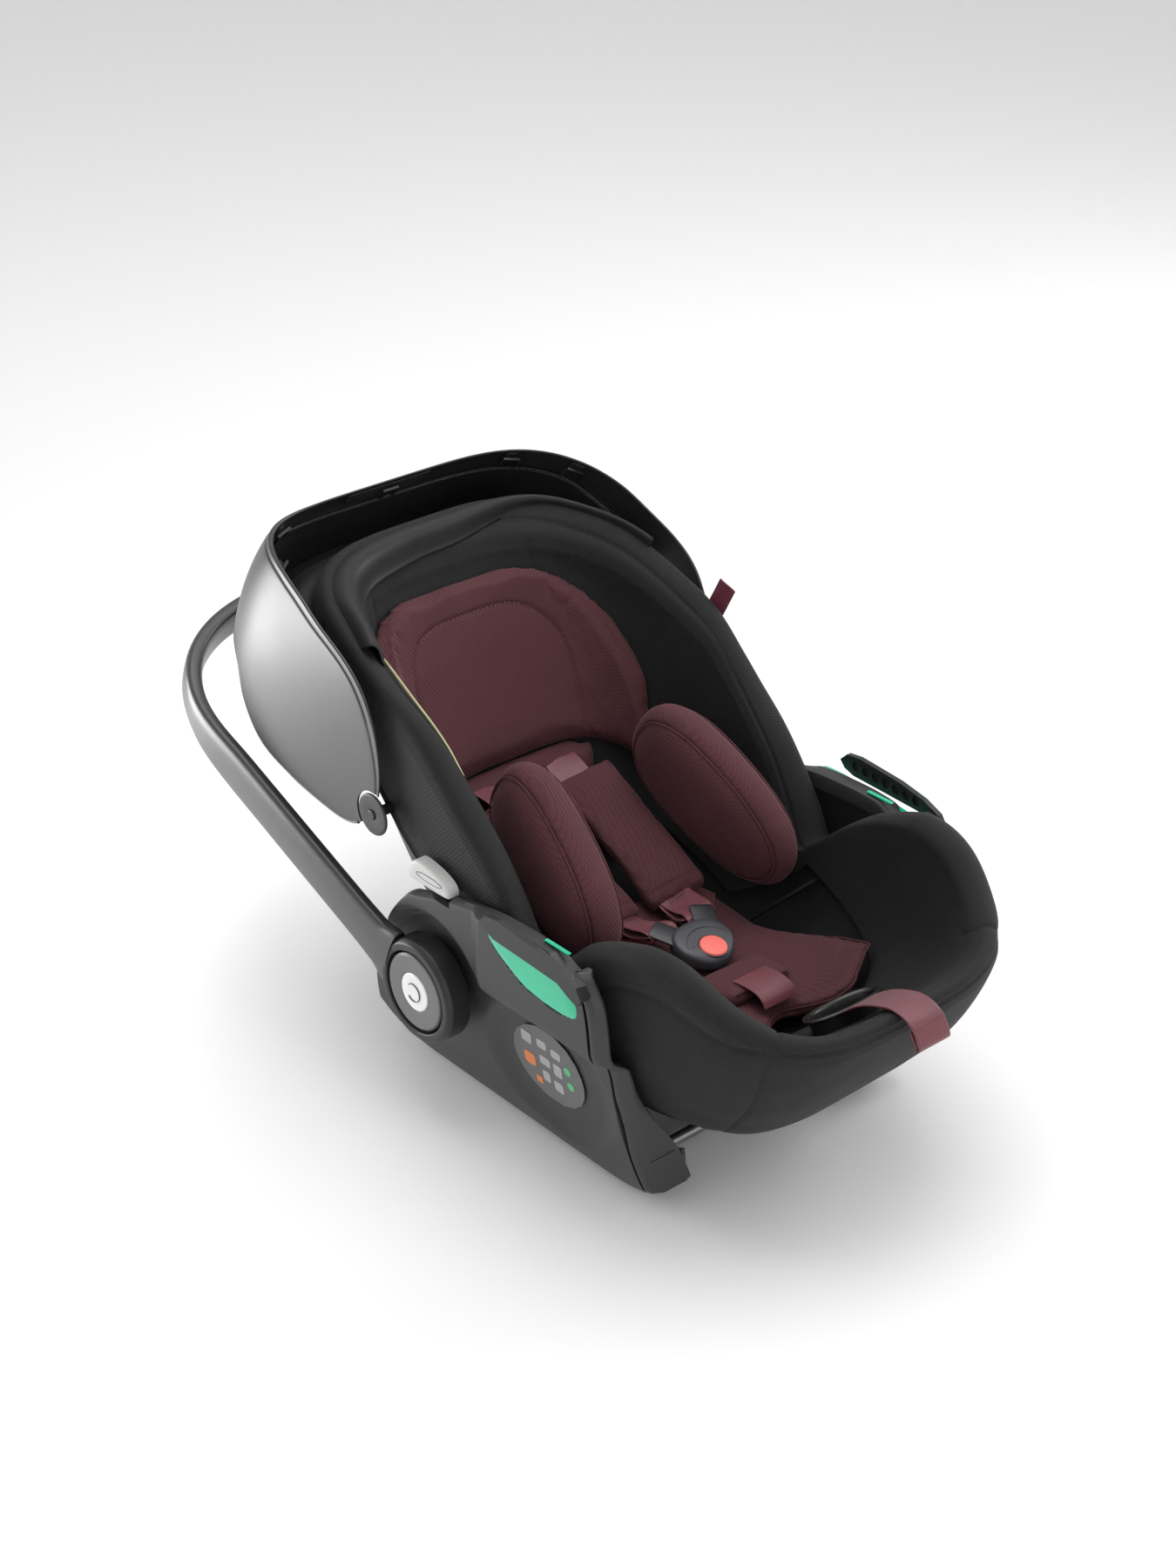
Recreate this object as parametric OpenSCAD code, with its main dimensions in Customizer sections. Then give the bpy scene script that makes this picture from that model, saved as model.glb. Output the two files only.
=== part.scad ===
// Rear-facing infant carrier seat: moulded shell on two rocker rails, turning carry handle,
// folding hood, padded cover and insert, and a three-point harness.
// Millimetres. X is across the seat, -Y is the foot end, +Y the head end, +Z is up.
// The origin is on the floor, below the middle of the seat's overall length and width.

/* [Seat] */
// Tilt of the seat's rim plane above the floor, degrees
rim_tilt = 19; // [17:0.5:21]
// Half width of the shell with its cover, at the rim
rim_half_w = 191; // [188:1:192]
// Distance of the front lip ahead of the handle axis
lip_y = -402; // [-410:1:-395]
// Height of the front lip
lip_z = 218; // [214:1:222]
// Thickness of the moulded shell wall
shell_t = 4; // [3:0.5:4.5]
// Thickness of the padded cover
cover_t = 3; // [2:0.5:3]
// Width of the padded rim, from its outer to its inner face
rim_w = 34; // [32:1:36]

/* [Handle] */
// Height of the handle hinge axis
hub_z = 135; // [133:1:137]
// Radius of each hub housing
hub_r = 51; // [49:0.5:52]
// Distance from the hinge axis to the middle of the grip
grip_reach = 488; // [486:1:492]
// Distance from the hinge axis to the start of each corner
arm_reach = 300; // [290:1:310]
// Distance of each arm's centre from the middle of the seat
arm_x = 215; // [214.5:0.25:216]
// Angle of the arms above the floor at rest, degrees
handle_angle = 22; // [20:1:24]
// Thickness of an arm across the seat
arm_t = 17; // [14:1:17]
// Depth of an arm along its swing
arm_d = 36; // [32:1:38]

/* [Hood] */
// Distance of the hood hinge behind the handle axis
hood_y = 79; // [77:1:81]
// Height of the hood hinge
hood_z = 279; // [277:1:281]
// Outer radius of the hood at its middle
hood_r = 305; // [300:1:306]
// Half width of the hood over its outer faces
hood_half_w = 203; // [202:0.5:204]
// Thickness of the hood's moulded band
hood_t = 2.6; // [2:0.2:3]

/* [Buttons] */
// Radius of the disc button in each hub
button_r = 38.5; // [37:0.5:39]
// Travel of the disc button
button_travel = 4.5; // [3:0.5:4.5]
// Radius of a hub axle
axle_r = 9; // [8:0.5:10]
// Running clearance around every pin and axle
running_gap = 0.06; // [0.03:0.01:0.09]

/* [Harness] */
// Width of the shoulder and lap webbing
webbing_w = 36; // [34:1:38]
// Thickness of the webbing
webbing_t = 1.6; // [1.2:0.2:2]
// Slope of the shoulder webbing and its pads above the floor, degrees
harness_slope = 22; // [21:0.5:23]

/* [Hidden] */
$fn = 48;

plastic = "#3c3d3f";
black = "#1b1b1d";
fabric = "#2b2b2d";
maroon = "#5c3c41";
burgundy = "#783741";
teal = "#12c48b";
light_grey = "#d6d5d2";

near = -1;
far = 1;

// The shapes are drawn about the handle's hinge axis, which lies this far ahead of the origin
axis_ahead = 19;
module seated() {
    translate([0, -axis_ahead, 0]) children();
}

// ---- curves ----
function smooth(t) = t <= 0 ? 0 : t >= 1 ? 1 : t * t * (3 - 2 * t);
function mix(a, b, t) = a + (b - a) * t;
function signed_pow(x, p) = sign(x) * pow(abs(x), p);
function seg(x, p, i = 0) = (i >= len(p) - 2 || x < p[i + 1][0]) ? i : seg(x, p, i + 1);
function slope(p, i) =
    let(a = max(i - 1, 0), b = min(i + 1, len(p) - 1))
    (p[b][1] - p[a][1]) / (p[b][0] - p[a][0]);
// Smooth curve through [x, y] control points, held level past its ends
function curve(x, p) =
    let(
        xc = min(max(x, p[0][0]), p[len(p) - 1][0]),
        i = seg(xc, p),
        h = p[i + 1][0] - p[i][0],
        t = (xc - p[i][0]) / h
    )
    (2 * t ^ 3 - 3 * t ^ 2 + 1) * p[i][1] + (t ^ 3 - 2 * t ^ 2 + t) * slope(p, i) * h
    + (3 * t ^ 2 - 2 * t ^ 3) * p[i + 1][1] + (t ^ 3 - t ^ 2) * slope(p, i + 1) * h;

// ---- seat form, in its own frame: u runs up the rim plane from the front lip, v down from it ----
half_w_at = [[-60, 1], [0, 0], [60, -3], [110, -8], [160, -19], [210, -39], [250, -67], [285, -111]];
front_at = [[-60, -2], [0, -4], [60, -1], [110, 14], [150, 40], [210, 150], [246, 240], [285, 360]];
back_at = [[-60, 716], [0, 714], [30, 702], [90, 636], [190, 520], [260, 440], [285, 408]];
front_k_at = [[0, 0.6], [60, 1.5], [100, 2.1], [143, 2.4], [190, 2.5], [285, 3]];
rim_at = [
    [0, 0], [60, -8], [118, -20], [160, -10], [190, 14], [218, 46], [240, 82], [258, 104], [276, 102],
    [300, 82], [325, 62], [350, 44], [385, 24], [415, 9], [455, -8], [510, -14], [580, -16], [650, -8],
    [715, 0]
];
apron_at = [[0, 165], [200, 165], [260, 128], [500, 128], [600, 76], [720, 62]];
back_k = 1.5;
floor_v = 285;
front_n = 3.8;
head_n = 3.6;

// Point of the seat's outline at angle a (0 = +X, 90 = head), depth v, inset by d
function outline(a, v, d) =
    let(
        w = rim_half_w + curve(v, half_w_at) - d,
        uf = curve(v, front_at) + d * curve(v, front_k_at),
        ub = curve(v, back_at) - d * back_k,
        s = sin(a),
        n = s < 0 ? front_n : head_n,
        taper = s < 0 ? (1 + 0.07 * s * smooth(v / 150)) * (1 + 0.04 * pow(s, 4)) : 1
    )
    [w * taper * signed_pow(cos(a), 2 / n), (uf + ub) / 2 + (ub - uf) / 2 * signed_pow(s, 2 / n)];
function rim_v(a) = curve(outline(a, 0, rim_w / 2)[1], rim_at);
function to_world(x, u, v) = [
    x,
    lip_y + u * cos(rim_tilt) + v * sin(rim_tilt),
    lip_z + u * sin(rim_tilt) - v * cos(rim_tilt)
];
function seat_point(a, v, d) = let(p = outline(a, v, d)) to_world(p[0], p[1], v);

// ---- solids from grids of points ----
function flat(l) = [for (a = l) for (b = a) b];
function turned(faces) = [for (f = faces) [for (k = [len(f) - 1:-1:0]) f[k]]];
// Closed loops of points, one after the other, capped at both ends
module loft(loops, flip = false, strip = false) {
    n = len(loops[0]);
    m = len(loops);
    b = (m - 1) * n;
    caps = strip
        ? [for (i = [0:n / 2 - 2]) let(j = n - 1 - i)
            each [[j, j - 1, i + 1], [j, i + 1, i], [b + i, b + i + 1, b + j - 1], [b + i, b + j - 1, b + j]]]
        : [[for (i = [n - 1:-1:0]) i], [for (i = [0:n - 1]) b + i]];
    faces = concat(
        [for (j = [0:m - 2]) for (i = [0:n - 1]) [j * n + i, j * n + (i + 1) % n, (j + 1) * n + i]],
        [for (j = [0:m - 2]) for (i = [0:n - 1])
            [j * n + (i + 1) % n, (j + 1) * n + (i + 1) % n, (j + 1) * n + i]],
        caps
    );
    polyhedron(flat(loops), flip ? turned(faces) : faces, convexity = 8);
}
// A sheet between two grids of the same size: each row becomes one closed loop
module sheet(top, bottom, flip = false) {
    loft([for (j = [0:len(top) - 1])
        concat(top[j], [for (i = [len(bottom[j]) - 1:-1:0]) bottom[j][i]])], flip, true);
}
// A bowl: rings from the rim to a flat floor outside, then back up inside
module bowl(outer, inner) {
    n = len(outer[0]);
    k = len(outer);
    all = concat(outer, [for (j = [len(inner) - 1:-1:0]) inner[j]]);
    m = len(all);
    walls = [for (j = [0:m - 1]) if (j != k - 1) for (i = [0:n - 1])
        let(a = j * n + i, b = j * n + (i + 1) % n, c = ((j + 1) % m) * n + i,
            d = ((j + 1) % m) * n + (i + 1) % n)
        each [[a, b, c], [b, d, c]]];
    polyhedron(
        flat(all),
        concat(walls, [[for (i = [0:n - 1]) (k - 1) * n + i]], [[for (i = [n - 1:-1:0]) k * n + i]]),
        convexity = 8
    );
}
module on_side(s) {
    if (s == far) children();
    else mirror([1, 0, 0]) children();
}
// A cylinder along X from x0 to x1, centred on the handle's hinge axis
module hub_disc(x0, x1, r) {
    translate([x0, 0, hub_z]) rotate([0, 90, 0]) cylinder(h = x1 - x0, r = r);
}
module hood_disc(x0, x1, r) {
    translate([x0, hood_y, hood_z]) rotate([0, 90, 0]) cylinder(h = x1 - x0, r = r);
}
// A plate with an outline in (y, z), from x0 to x1
module side_plate(x0, x1, outline_yz) {
    translate([x0, 0, 0]) rotate([90, 0, 90]) linear_extrude(x1 - x0) polygon(outline_yz);
}
// A soft pillow: superellipsoid with radii r, squareness n
module pillow(r, n = 2.6, sides = 20, rows = 9) {
    loft([for (j = [0:rows])
        let(b = -84 + 168 * j / rows, cb = pow(cos(b), 2 / n), sb = signed_pow(sin(b), 2 / n))
        [for (i = [0:sides - 1])
            let(a = 360 * i / sides)
            [r[0] * cb * signed_pow(cos(a), 2 / n),
             r[1] * cb * signed_pow(sin(a), 2 / n),
             r[2] * sb]]], true);
}

// ---- shell, liner and cover ----
ring_step = 6;
// The angles lie closer together by the waist, where the outline runs almost straight
function near_waist(a) =
    a % 180 == 0 ? [a, a + 1.5, a + 3] : (a + ring_step) % 180 == 0 ? [a, a + 3, a + 4.5] : [a];
ring_angles = [for (a = [0:ring_step:360 - ring_step]) each near_waist(a)];
layer_gap = 1.5;
shell_d = cover_t + layer_gap;
liner_d = shell_d + shell_t + layer_gap;
liner_in = rim_w - cover_t - 2;
// Drop of the shell's and liner's edges below the crest of the padded rim
edge_drop = 20;
function depth_at(a, f, bottom) = mix(rim_v(a) + edge_drop, bottom, f);
function seat_rings(d, bottom, rows) =
    [for (j = [0:rows]) [for (a = ring_angles) seat_point(a, depth_at(a, j / rows, bottom), d)]];

module seat_shell() {
    color(plastic) seated()
    bowl(seat_rings(shell_d, floor_v - 3, 9), seat_rings(shell_d + shell_t, floor_v - 8, 9));
}
module foam_liner() {
    color("#d9d9d6") seated()
    difference() {
        bowl(seat_rings(liner_d, floor_v - 11, 9), seat_rings(liner_in, floor_v - 42, 9));
        cup_hole();
    }
}

// Cross-section of the cover: [inset, drop below the crest], from the skirt over to the inside
// at the foot end, then at the head end, each followed by its underside
foot_crest = [[0, 16], [3, 6], [9.5, 0.5], [18, -1.5], [26.5, 1.5], [33, 9], [rim_w, 22]];
foot_under = [
    [cover_t, 16.2], [cover_t + 2.6, 9.4], [11.5, 4], [18, 2.6], [24.5, 5], [rim_w - cover_t - 2.4, 11.6],
    [rim_w - cover_t, 22.4]
];
head_crest = [[0, 16], [2.5, 5], [7, 0], [13, 1.5], [21, 5.5], [29, 11.5], [rim_w, 23]];
head_under = [
    [cover_t, 16.2], [cover_t + 2, 8.4], [8.4, 4], [13, 5.2], [20.4, 9], [rim_w - cover_t - 1.4, 15.4],
    [rim_w - cover_t, 23.4]
];
function crest_at(a, foot, head) =
    let(k = smooth((sin(a) + 0.35) / 0.7))
    [for (i = [0:6]) mix(foot[i], head[i], k)];
function skirt(a, d, f) =
    [d, mix(max(curve(outline(a, 0, 0)[1], apron_at), rim_v(a) + 40), rim_v(a) + 16, f)];
function cover_line(a, c, d_out, d_in, inner_end) = concat(
    [for (f = [0:0.125:0.88]) skirt(a, d_out, f)],
    [for (p = c) [p[0], rim_v(a) + p[1]]],
    [for (f = [0.2:0.2:1.01]) [d_in, mix(rim_v(a) + 23.5, max(inner_end, rim_v(a) + 50), f)]]
);
function cover_row(a, c, d_out, d_in, inner_end) =
    [for (p = cover_line(a, c, d_out, d_in, inner_end)) seat_point(a, p[1], p[0])];
module cover(angles, inner_end) {
    sheet(
        [for (a = angles) cover_row(a, crest_at(a, foot_crest, head_crest), 0, rim_w, inner_end)],
        [for (a = angles)
            cover_row(a, crest_at(a, foot_under, head_under), cover_t, rim_w - cover_t, inner_end)]
    );
}
waist_angle = 5.4;
function between(a0, a1) = concat([a0], [for (a = ring_angles) if (a > a0 + 0.3 && a < a1 - 0.3) a], [a1]);
module cover_front() {
    color(fabric) seated()
    difference() {
        cover(between(180 + waist_angle, 360 - waist_angle), 118);
        cup_hole();
    }
}
module cover_back() {
    color(fabric) seated()
    cover(concat([-waist_angle + 0.6, -3, -1.5], between(0, 180 + waist_angle - 0.6)), 200);
}
module rim_tag() {
    tag_a = 8;
    p = seat_point(tag_a, rim_v(tag_a), 0);
    color(burgundy) seated()
    translate([p[0] + 0.8, p[1] - 8, p[2] - 10])
    rotate([rim_tilt, 0, 0])
    rotate([0, 12, 0])
    cube([1.2, 22, 24]);
}

// ---- base ----
front_edge_at = [[0, -258], [20, -262], [90, -252], [160, -244], [225, -236], [256, -214]];
rear_edge_at = [[0, 120], [30, 124], [70, 118], [110, 106], [170, 85], [215, 66], [250, 52]];
bottom_at = [[-262, 27], [-240, 16], [-205, 3], [-178, 0], [44, 0], [76, 6], [100, 19], [122, 40]];
top_at = [
    [-262, 240], [-228, 246], [-206, 254], [-121, 254], [-65, 250], [4, 240], [60, 226], [82, 216],
    [100, 180], [122, 100]
];
outer_at = [
    [0, 147], [14, 158], [40, 169], [80, 179], [120, 186], [158, 191], [172, 200], [186, 203], [256, 203]
];
pillar_gap = 15;
dish = [-144, 100];
dish_size = [92, 76];
// Overhang of the rail ahead of the hub
function rail_out(y, z) = 8 * smooth((-62 - y) / 20) * smooth((z - 158) / 16) * smooth((262 - z) / 14);
function dish_depth(y, z) =
    let(r = norm([(y - dish[0]) / dish_size[0], (z - dish[1]) / dish_size[1]]))
    6 * smooth((1 - r) / 0.32);
function panel_x(y, z) =
    let(r = norm([y, z - hub_z]), x = curve(z, outer_at) + rail_out(y, z) - dish_depth(y, z))
    min(x, mix(189, x, smooth((r - 64) / 14)));
panel_t = 4;
runner_in = 112;
rail_in = 191;
function panel_y(f, z) = mix(curve(z, front_edge_at) + pillar_gap, curve(z, rear_edge_at), f);
// The panel's cross-section at station f: [x, z] up the outside, over the rail and down the inside
function panel_loop(f) =
    let(
        y = mix(-247, 122, f),
        zb = max(0, curve(y, bottom_at)),
        zt = curve(y, top_at),
        zs = [for (g = [0.03, 0.1, 0.2, 0.3, 0.4, 0.5, 0.6, 0.66, 0.73, 0.8, 0.9, 0.96]) mix(zb, zt, g)],
        top_x = panel_x(y, zt - 8),
        in_x = min(rail_in, top_x - 12),
        lip_h = min(26, 0.25 * (zt - zb))
    )
    concat(
        [[runner_in, zb + lip_h], [runner_in, zb + 3], [runner_in + 3, zb]],
        [[panel_x(y, zb) - 8, zb]],
        [for (z = zs) [panel_x(y, z), z]],
        [[top_x - 4, zt], [in_x + 3, zt], [in_x, zt - 3], [in_x, zt - 16]],
        [[in_x + 3, zt - 16], [in_x + 3, zt - 6]],
        [[top_x - 7, zt - 6]],
        [for (i = [len(zs) - 2:-1:1]) [panel_x(y, zs[i]) - panel_t, zs[i]]],
        [[panel_x(y, zb) - 10, zb + 4], [runner_in + panel_t, zb + 4], [runner_in + panel_t, zb + lip_h]]
    );
module side_panel(s) {
    stations = 28;
    on_side(s)
    difference() {
        loft([for (i = [0:stations])
            let(f = i / stations) [for (p = panel_loop(f)) [p[0], panel_y(f, p[1]), p[1]]]]);
        lever_pocket();
        belt_recess();
        hub_disc(180, 192, axle_r);
        hub_disc(hub_in - 0.5, hub_in + 4, hub_r + 0.8);
        translate([socket[0] + 3, socket[1] + 3, -1]) cube([18, 28, 12]);
    }
}
module side_panel_left() { color(plastic) seated() side_panel(near); }
module side_panel_right() { color(plastic) seated() side_panel(far); }

// Pillar down the front of each rail, from its end cap to the foot
pillar_w_at = [[0, 44], [60, 44], [100, 26], [130, 17], [160, 13], [256, 13]];
module front_pillar(s) {
    on_side(s)
    loft([for (z = [24, 27, 36, 60, 100, 150, 190, 215, 235, 246, 252])
        let(
            y0 = curve(z, front_edge_at) + (z < 26 ? 2 : 0),
            xo = panel_x(-225, z) - 0.5,
            wide = curve(z, pillar_w_at),
            deep = pillar_gap - 2 - (z > 240 ? 4 : 0),
            y1 = y0 + deep
        )
        [[xo - wide, y1, z], [xo - wide, y0 + 2, z], [xo - wide + 3, y0, z], [xo - 12, y0, z],
         [xo - 4, y0 + 4, z], [xo, y0 + 12, z], [xo, y1, z]]], true);
}
module front_pillar_left() { color(plastic) seated() front_pillar(near); }
module front_pillar_right() { color(plastic) seated() front_pillar(far); }

deck_z = 43;
module base_deck() {
    color(plastic) seated()
    difference() {
        union() {
            translate([-111, -150, deck_z]) cube([222, 235, 4]);
            for (x = [-108, 104]) translate([x, -150, deck_z - 20]) cube([4, 235, 20]);
        }
        for (x = [-80, 80]) for (y = [-120, -30, 60])
            translate([x, y, deck_z - 1]) cylinder(h = 6, r = 2.6);
        translate([-50, -90, deck_z - 1]) cube([100, 120, 6]);
    }
}
module deck_screws() {
    color("#9a9a9c") seated()
    for (x = [-80, 80]) for (y = [-120, -30, 60])
        translate([x, y, deck_z - 3]) {
            cylinder(h = 3, r = 4.5);
            cylinder(h = 12, r = 2.4);
        }
}
module docking_bar(y, z) {
    translate([-111.6, y, z]) rotate([0, 90, 0]) cylinder(h = 223.2, r = 6);
}
module front_bar() { color("#8d8d90") seated() docking_bar(-200, 16); }
module rear_bar() { color("#8d8d90") seated() docking_bar(112, 16); }

// ---- belt path on each rail ----
guide_line = [
    [-90, 251], [-93, 241], [-105, 229], [-120, 220], [-142, 210], [-165, 206], [-192, 205],
    [-210, 208], [-214, 216], [-210, 230], [-204, 244], [-150, 250]
];
guide_middle = [-155, 228];
module belt_recess() {
    side_plate(206.6, 230, [for (p = guide_line) guide_middle + (p - guide_middle) * 1.03]);
}
module belt_guide(s) {
    on_side(s) side_plate(207, 209, guide_line);
}
module belt_guide_left() { color(teal) seated() belt_guide(near); }
module belt_guide_right() { color(teal) seated() belt_guide(far); }
hook_line = [
    [-100, 260], [-106, 253], [-118, 249], [-150, 248], [-202, 246], [-216, 239], [-227, 235],
    [-233, 242], [-226, 252], [-207, 260], [-176, 266], [-124, 270], [-108, 268]
];
hook_foot = [[-216, 240], [-227, 236], [-232, 242], [-226, 251], [-215, 253]];
module belt_hook(s) {
    on_side(s) {
        difference() {
            side_plate(218, 223.5, hook_line);
            for (i = [0:6])
                translate([215, -120 - 13 * i, 259.6 - 0.75 * i])
                rotate([0, 90, 0]) rotate([0, 0, 30]) cylinder(h = 5.5, r = 5.2, $fn = 6);
        }
        side_plate(211.6, 218, hook_foot);
    }
}
module belt_hook_left() { color(black) seated() belt_hook(near); }
module belt_hook_right() { color(black) seated() belt_hook(far); }
module rail_window(s) {
    on_side(s)
    translate([195, -188, 256]) cube([4, 31, 1]);
}
module rail_window_left() { color(teal) seated() rail_window(near); }
module rail_window_right() { color(teal) seated() rail_window(far); }

// ---- adapter socket and its release lever ----
socket = [120, 62, 48];
module adapter_socket(s) {
    on_side(s)
    translate(socket) difference() {
        cube([24, 34, 62]);
        translate([4, 4, -1]) cube([16, 26, 59]);
    }
}
module adapter_socket_left() { color(black) seated() adapter_socket(near); }
module adapter_socket_right() { color(black) seated() adapter_socket(far); }
lever_y0 = -30;
lever_y1 = 26;
module lever_pocket() {
    translate([187, lever_y0 - 1.5, 231]) cube([20, lever_y1 - lever_y0 + 3, 30]);
}
module release_lever(s) {
    on_side(s)
    side_plate(190.5, 203.5, [
        [lever_y0, 240], [lever_y0 + 2, 238], [lever_y1 - 2, 238], [lever_y1, 240], [lever_y1, 250],
        [lever_y1 - 5, 257], [lever_y1 - 14, 260], [lever_y0 + 18, 256], [lever_y0 + 4, 250]
    ]);
}
module release_lever_left() { color(light_grey) seated() release_lever(near); }
module release_lever_right() { color(light_grey) seated() release_lever(far); }
label = [-139, 108];
label_size = [48, 41];
module side_label(s) {
    rows = [for (k = [-0.97, -0.8, -0.55, -0.28, 0, 0.28, 0.55, 0.8, 0.97]) k];
    function row(k, lift) =
        let(z = label[1] + label_size[1] * k, half = label_size[0] * sqrt(1 - k * k))
        [for (j = [-1, -0.5, 0, 0.5, 1]) let(y = label[0] + half * j) [panel_x(y, z) + lift, y, z]];
    on_side(s) sheet([for (k = rows) row(k, 2)], [for (k = rows) row(k, 1.5)], true);
}
module side_label_left() { color("#77787a") seated() side_label(near); }
module side_label_right() { color("#77787a") seated() side_label(far); }

// ---- hubs ----
hub_in = 196.6;
hub_out = 222;
well_floor = 209.6;
button_in = hub_out - 7.2;
module hub_gears() {
    color("#8d8d90") seated()
    for (s = [near, far]) on_side(s)
        translate([189.6, 0, hub_z]) rotate([90, 0, 90]) difference() {
            linear_extrude(6.4)
            polygon([for (i = [0:47]) let(r = i % 2 == 0 ? 36 : 32) [r * cos(7.5 * i), r * sin(7.5 * i)]]);
            translate([0, 0, -1]) cylinder(h = 9, r = axle_r + 0.3);
        }
}
module hub_axles() {
    color("#9a9a9c") seated()
    for (s = [near, far]) on_side(s) {
        hub_disc(180, 207.4, axle_r);
        hub_disc(176, 180, 14);
    }
}
module hub_housing(s) {
    on_side(s)
    difference() {
        union() {
            hub_disc(hub_in, hub_out - 3, hub_r);
            hub_disc(hub_out - 3, hub_out, hub_r - 2.5);
        }
        hub_disc(hub_in - 1, 208, axle_r + running_gap);
        hub_disc(well_floor, hub_out + 1, button_r + 1.8);
    }
}
module hub_housing_left() { color(black) seated() hub_housing(near); }
module hub_housing_right() { color(black) seated() hub_housing(far); }
module hub_springs() {
    color("#9a9a9c") seated()
    for (s = [near, far]) on_side(s)
        difference() {
            hub_disc(well_floor, well_floor + 0.4, 24);
            hub_disc(well_floor - 1, well_floor + 1, 18);
        }
}
module hub_button(s) {
    on_side(s)
    difference() {
        union() {
            hub_disc(button_in, hub_out - 1.2, button_r);
            hub_disc(hub_out - 1.2, hub_out - 0.2, button_r - 1);
        }
        hub_disc(hub_out - 1, hub_out, 21);
    }
}
module hub_button_left() { color("#7f8082") seated() hub_button(near); }
module hub_button_right() { color("#7f8082") seated() hub_button(far); }
module hub_badge(s) {
    on_side(s) hub_disc(hub_out - 1, hub_out - 0.1, 20.9);
}
module hub_badge_left() { color("#e9eaea") seated() hub_badge(near); }
module hub_badge_right() { color("#e9eaea") seated() hub_badge(far); }

// ---- handle ----
bow_n = 2.7;
arm_start = 42;
// Centre line of the handle: across the seat and out from the hinge axis, e from 0 to 180
function bow(e) = [
    arm_x * signed_pow(cos(e), 2 / bow_n),
    arm_reach + (grip_reach - arm_reach) * pow(sin(e), 2 / bow_n)
];
handle_path = concat(
    [for (i = [0:5]) [arm_x, mix(arm_start, arm_reach - 20, i / 5)]],
    [for (e = [4:8:176]) bow(e)],
    [for (i = [5:-1:0]) [-arm_x, mix(arm_start, arm_reach - 20, i / 5)]]
);
function handle_loop(i) =
    let(
        p = handle_path[i],
        a = handle_path[max(i - 1, 0)],
        b = handle_path[min(i + 1, len(handle_path) - 1)],
        t = (b - a) / norm(b - a),
        side = [t[1], -t[0]],
        half_t = arm_t / 2,
        half_d = arm_d / 2 * (1 + 0.42 * smooth((400 - p[1]) / 110) + 0.12 * smooth((110 - p[1]) / 70))
    )
    [for (k = [0:15])
        let(c = signed_pow(cos(22.5 * k), 0.8), s = signed_pow(sin(22.5 * k), 0.8),
            x = p[0] + side[0] * half_t * c, r = p[1] + side[1] * half_t * c, h = half_d * s)
        [x,
         r * cos(handle_angle) - h * sin(handle_angle),
         hub_z + r * sin(handle_angle) + h * cos(handle_angle)]];
module handle_bar() {
    color(black) seated()
    loft([for (i = [0:len(handle_path) - 1]) handle_loop(i)]);
}

// ---- hood ----
hood_n = 4.7;
lip_phi_at = [
    [24, 112], [60, 101], [100, 91], [125, 84], [171, 67], [210, 58], [249, 50], [276, 45], [305, 40]
];
back_phi_at = [[24, -40], [74, -17], [126, -6], [180, 1], [216, 9], [240, 16], [305, 18]];
// The hood's section at parameter e (0 = +X hinge, 180 = -X hinge), inset by d: [x, radius]
function hood_profile(e, d) = [
    (hood_half_w - d) * signed_pow(cos(e), 2 / hood_n),
    (hood_r - d) * pow(sin(e), 2 / hood_n)
];
function hood_point(x, r, phi) = [x, hood_y + r * cos(phi), hood_z + r * sin(phi)];
hood_angles = concat([for (r = [0.075, 0.16, 0.26, 0.38, 0.5, 0.62]) asin(pow(r, hood_n / 2))],
    [for (e = [20:10:80]) e]);
hood_all = concat(hood_angles, [90], [for (i = [len(hood_angles) - 1:-1:0]) 180 - hood_angles[i]]);
function hood_row(e, d, from, to, steps) =
    let(p = hood_profile(e, d), lip = curve(p[1], lip_phi_at), back = curve(p[1], back_phi_at))
    [for (j = [0:steps]) hood_point(p[0], p[1], mix(back, lip, mix(from, to, j / steps)))];
module hood_sheet(d0, d1, from, to, rows) {
    sheet(
        [for (e = rows) hood_row(e, d0, from, to, 7)],
        [for (e = rows) hood_row(e, d1, from, to, 7)]
    );
}
module hood_band() {
    color(black) seated()
    hood_sheet(0, hood_t, 0, 1, hood_all);
}
lining_rows = [for (e = [20:10:160]) e];
module hood_lining() {
    color(fabric) seated()
    hood_sheet(hood_t + 1, hood_t + 3, 0.04, 0.74, lining_rows);
}
module hood_zip() {
    color("#8c8c8c") seated()
    hood_sheet(hood_t + 1, hood_t + 2.6, 0.76, 0.8, lining_rows);
}
module hood_clips() {
    color(black) seated()
    for (e = [38, 64, 90, 116, 142])
        let(
            p = hood_profile(e, hood_t + 2.8),
            phi = mix(curve(p[1], back_phi_at), curve(p[1], lip_phi_at), 0.9)
        )
        translate(hood_point(p[0], p[1], phi))
        rotate([phi - 90, 0, 0]) rotate([0, (90 - e) * 0.7, 0]) translate([-9, -7, -5.2]) difference() {
            cube([18, 14, 2.4]);
            translate([3, 3, -1]) cube([12, 12, 5]);
        }
}
plate_r = 22.5;
pin_r = 5;
module hood_hinge_plates() {
    color(black) seated()
    for (s = [near, far]) on_side(s)
        difference() {
            hood_disc(hood_half_w - hood_t, hood_half_w, plate_r);
            hood_disc(hood_half_w - hood_t - 1, hood_half_w + 1, pin_r + running_gap);
        }
}
module hood_rivets() {
    color("#3c3d3f") seated()
    for (s = [near, far]) on_side(s) {
        hood_disc(175, hood_half_w + 0.4, pin_r);
        hood_disc(191, hood_half_w - hood_t - 0.6, 11);
    }
}
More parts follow.
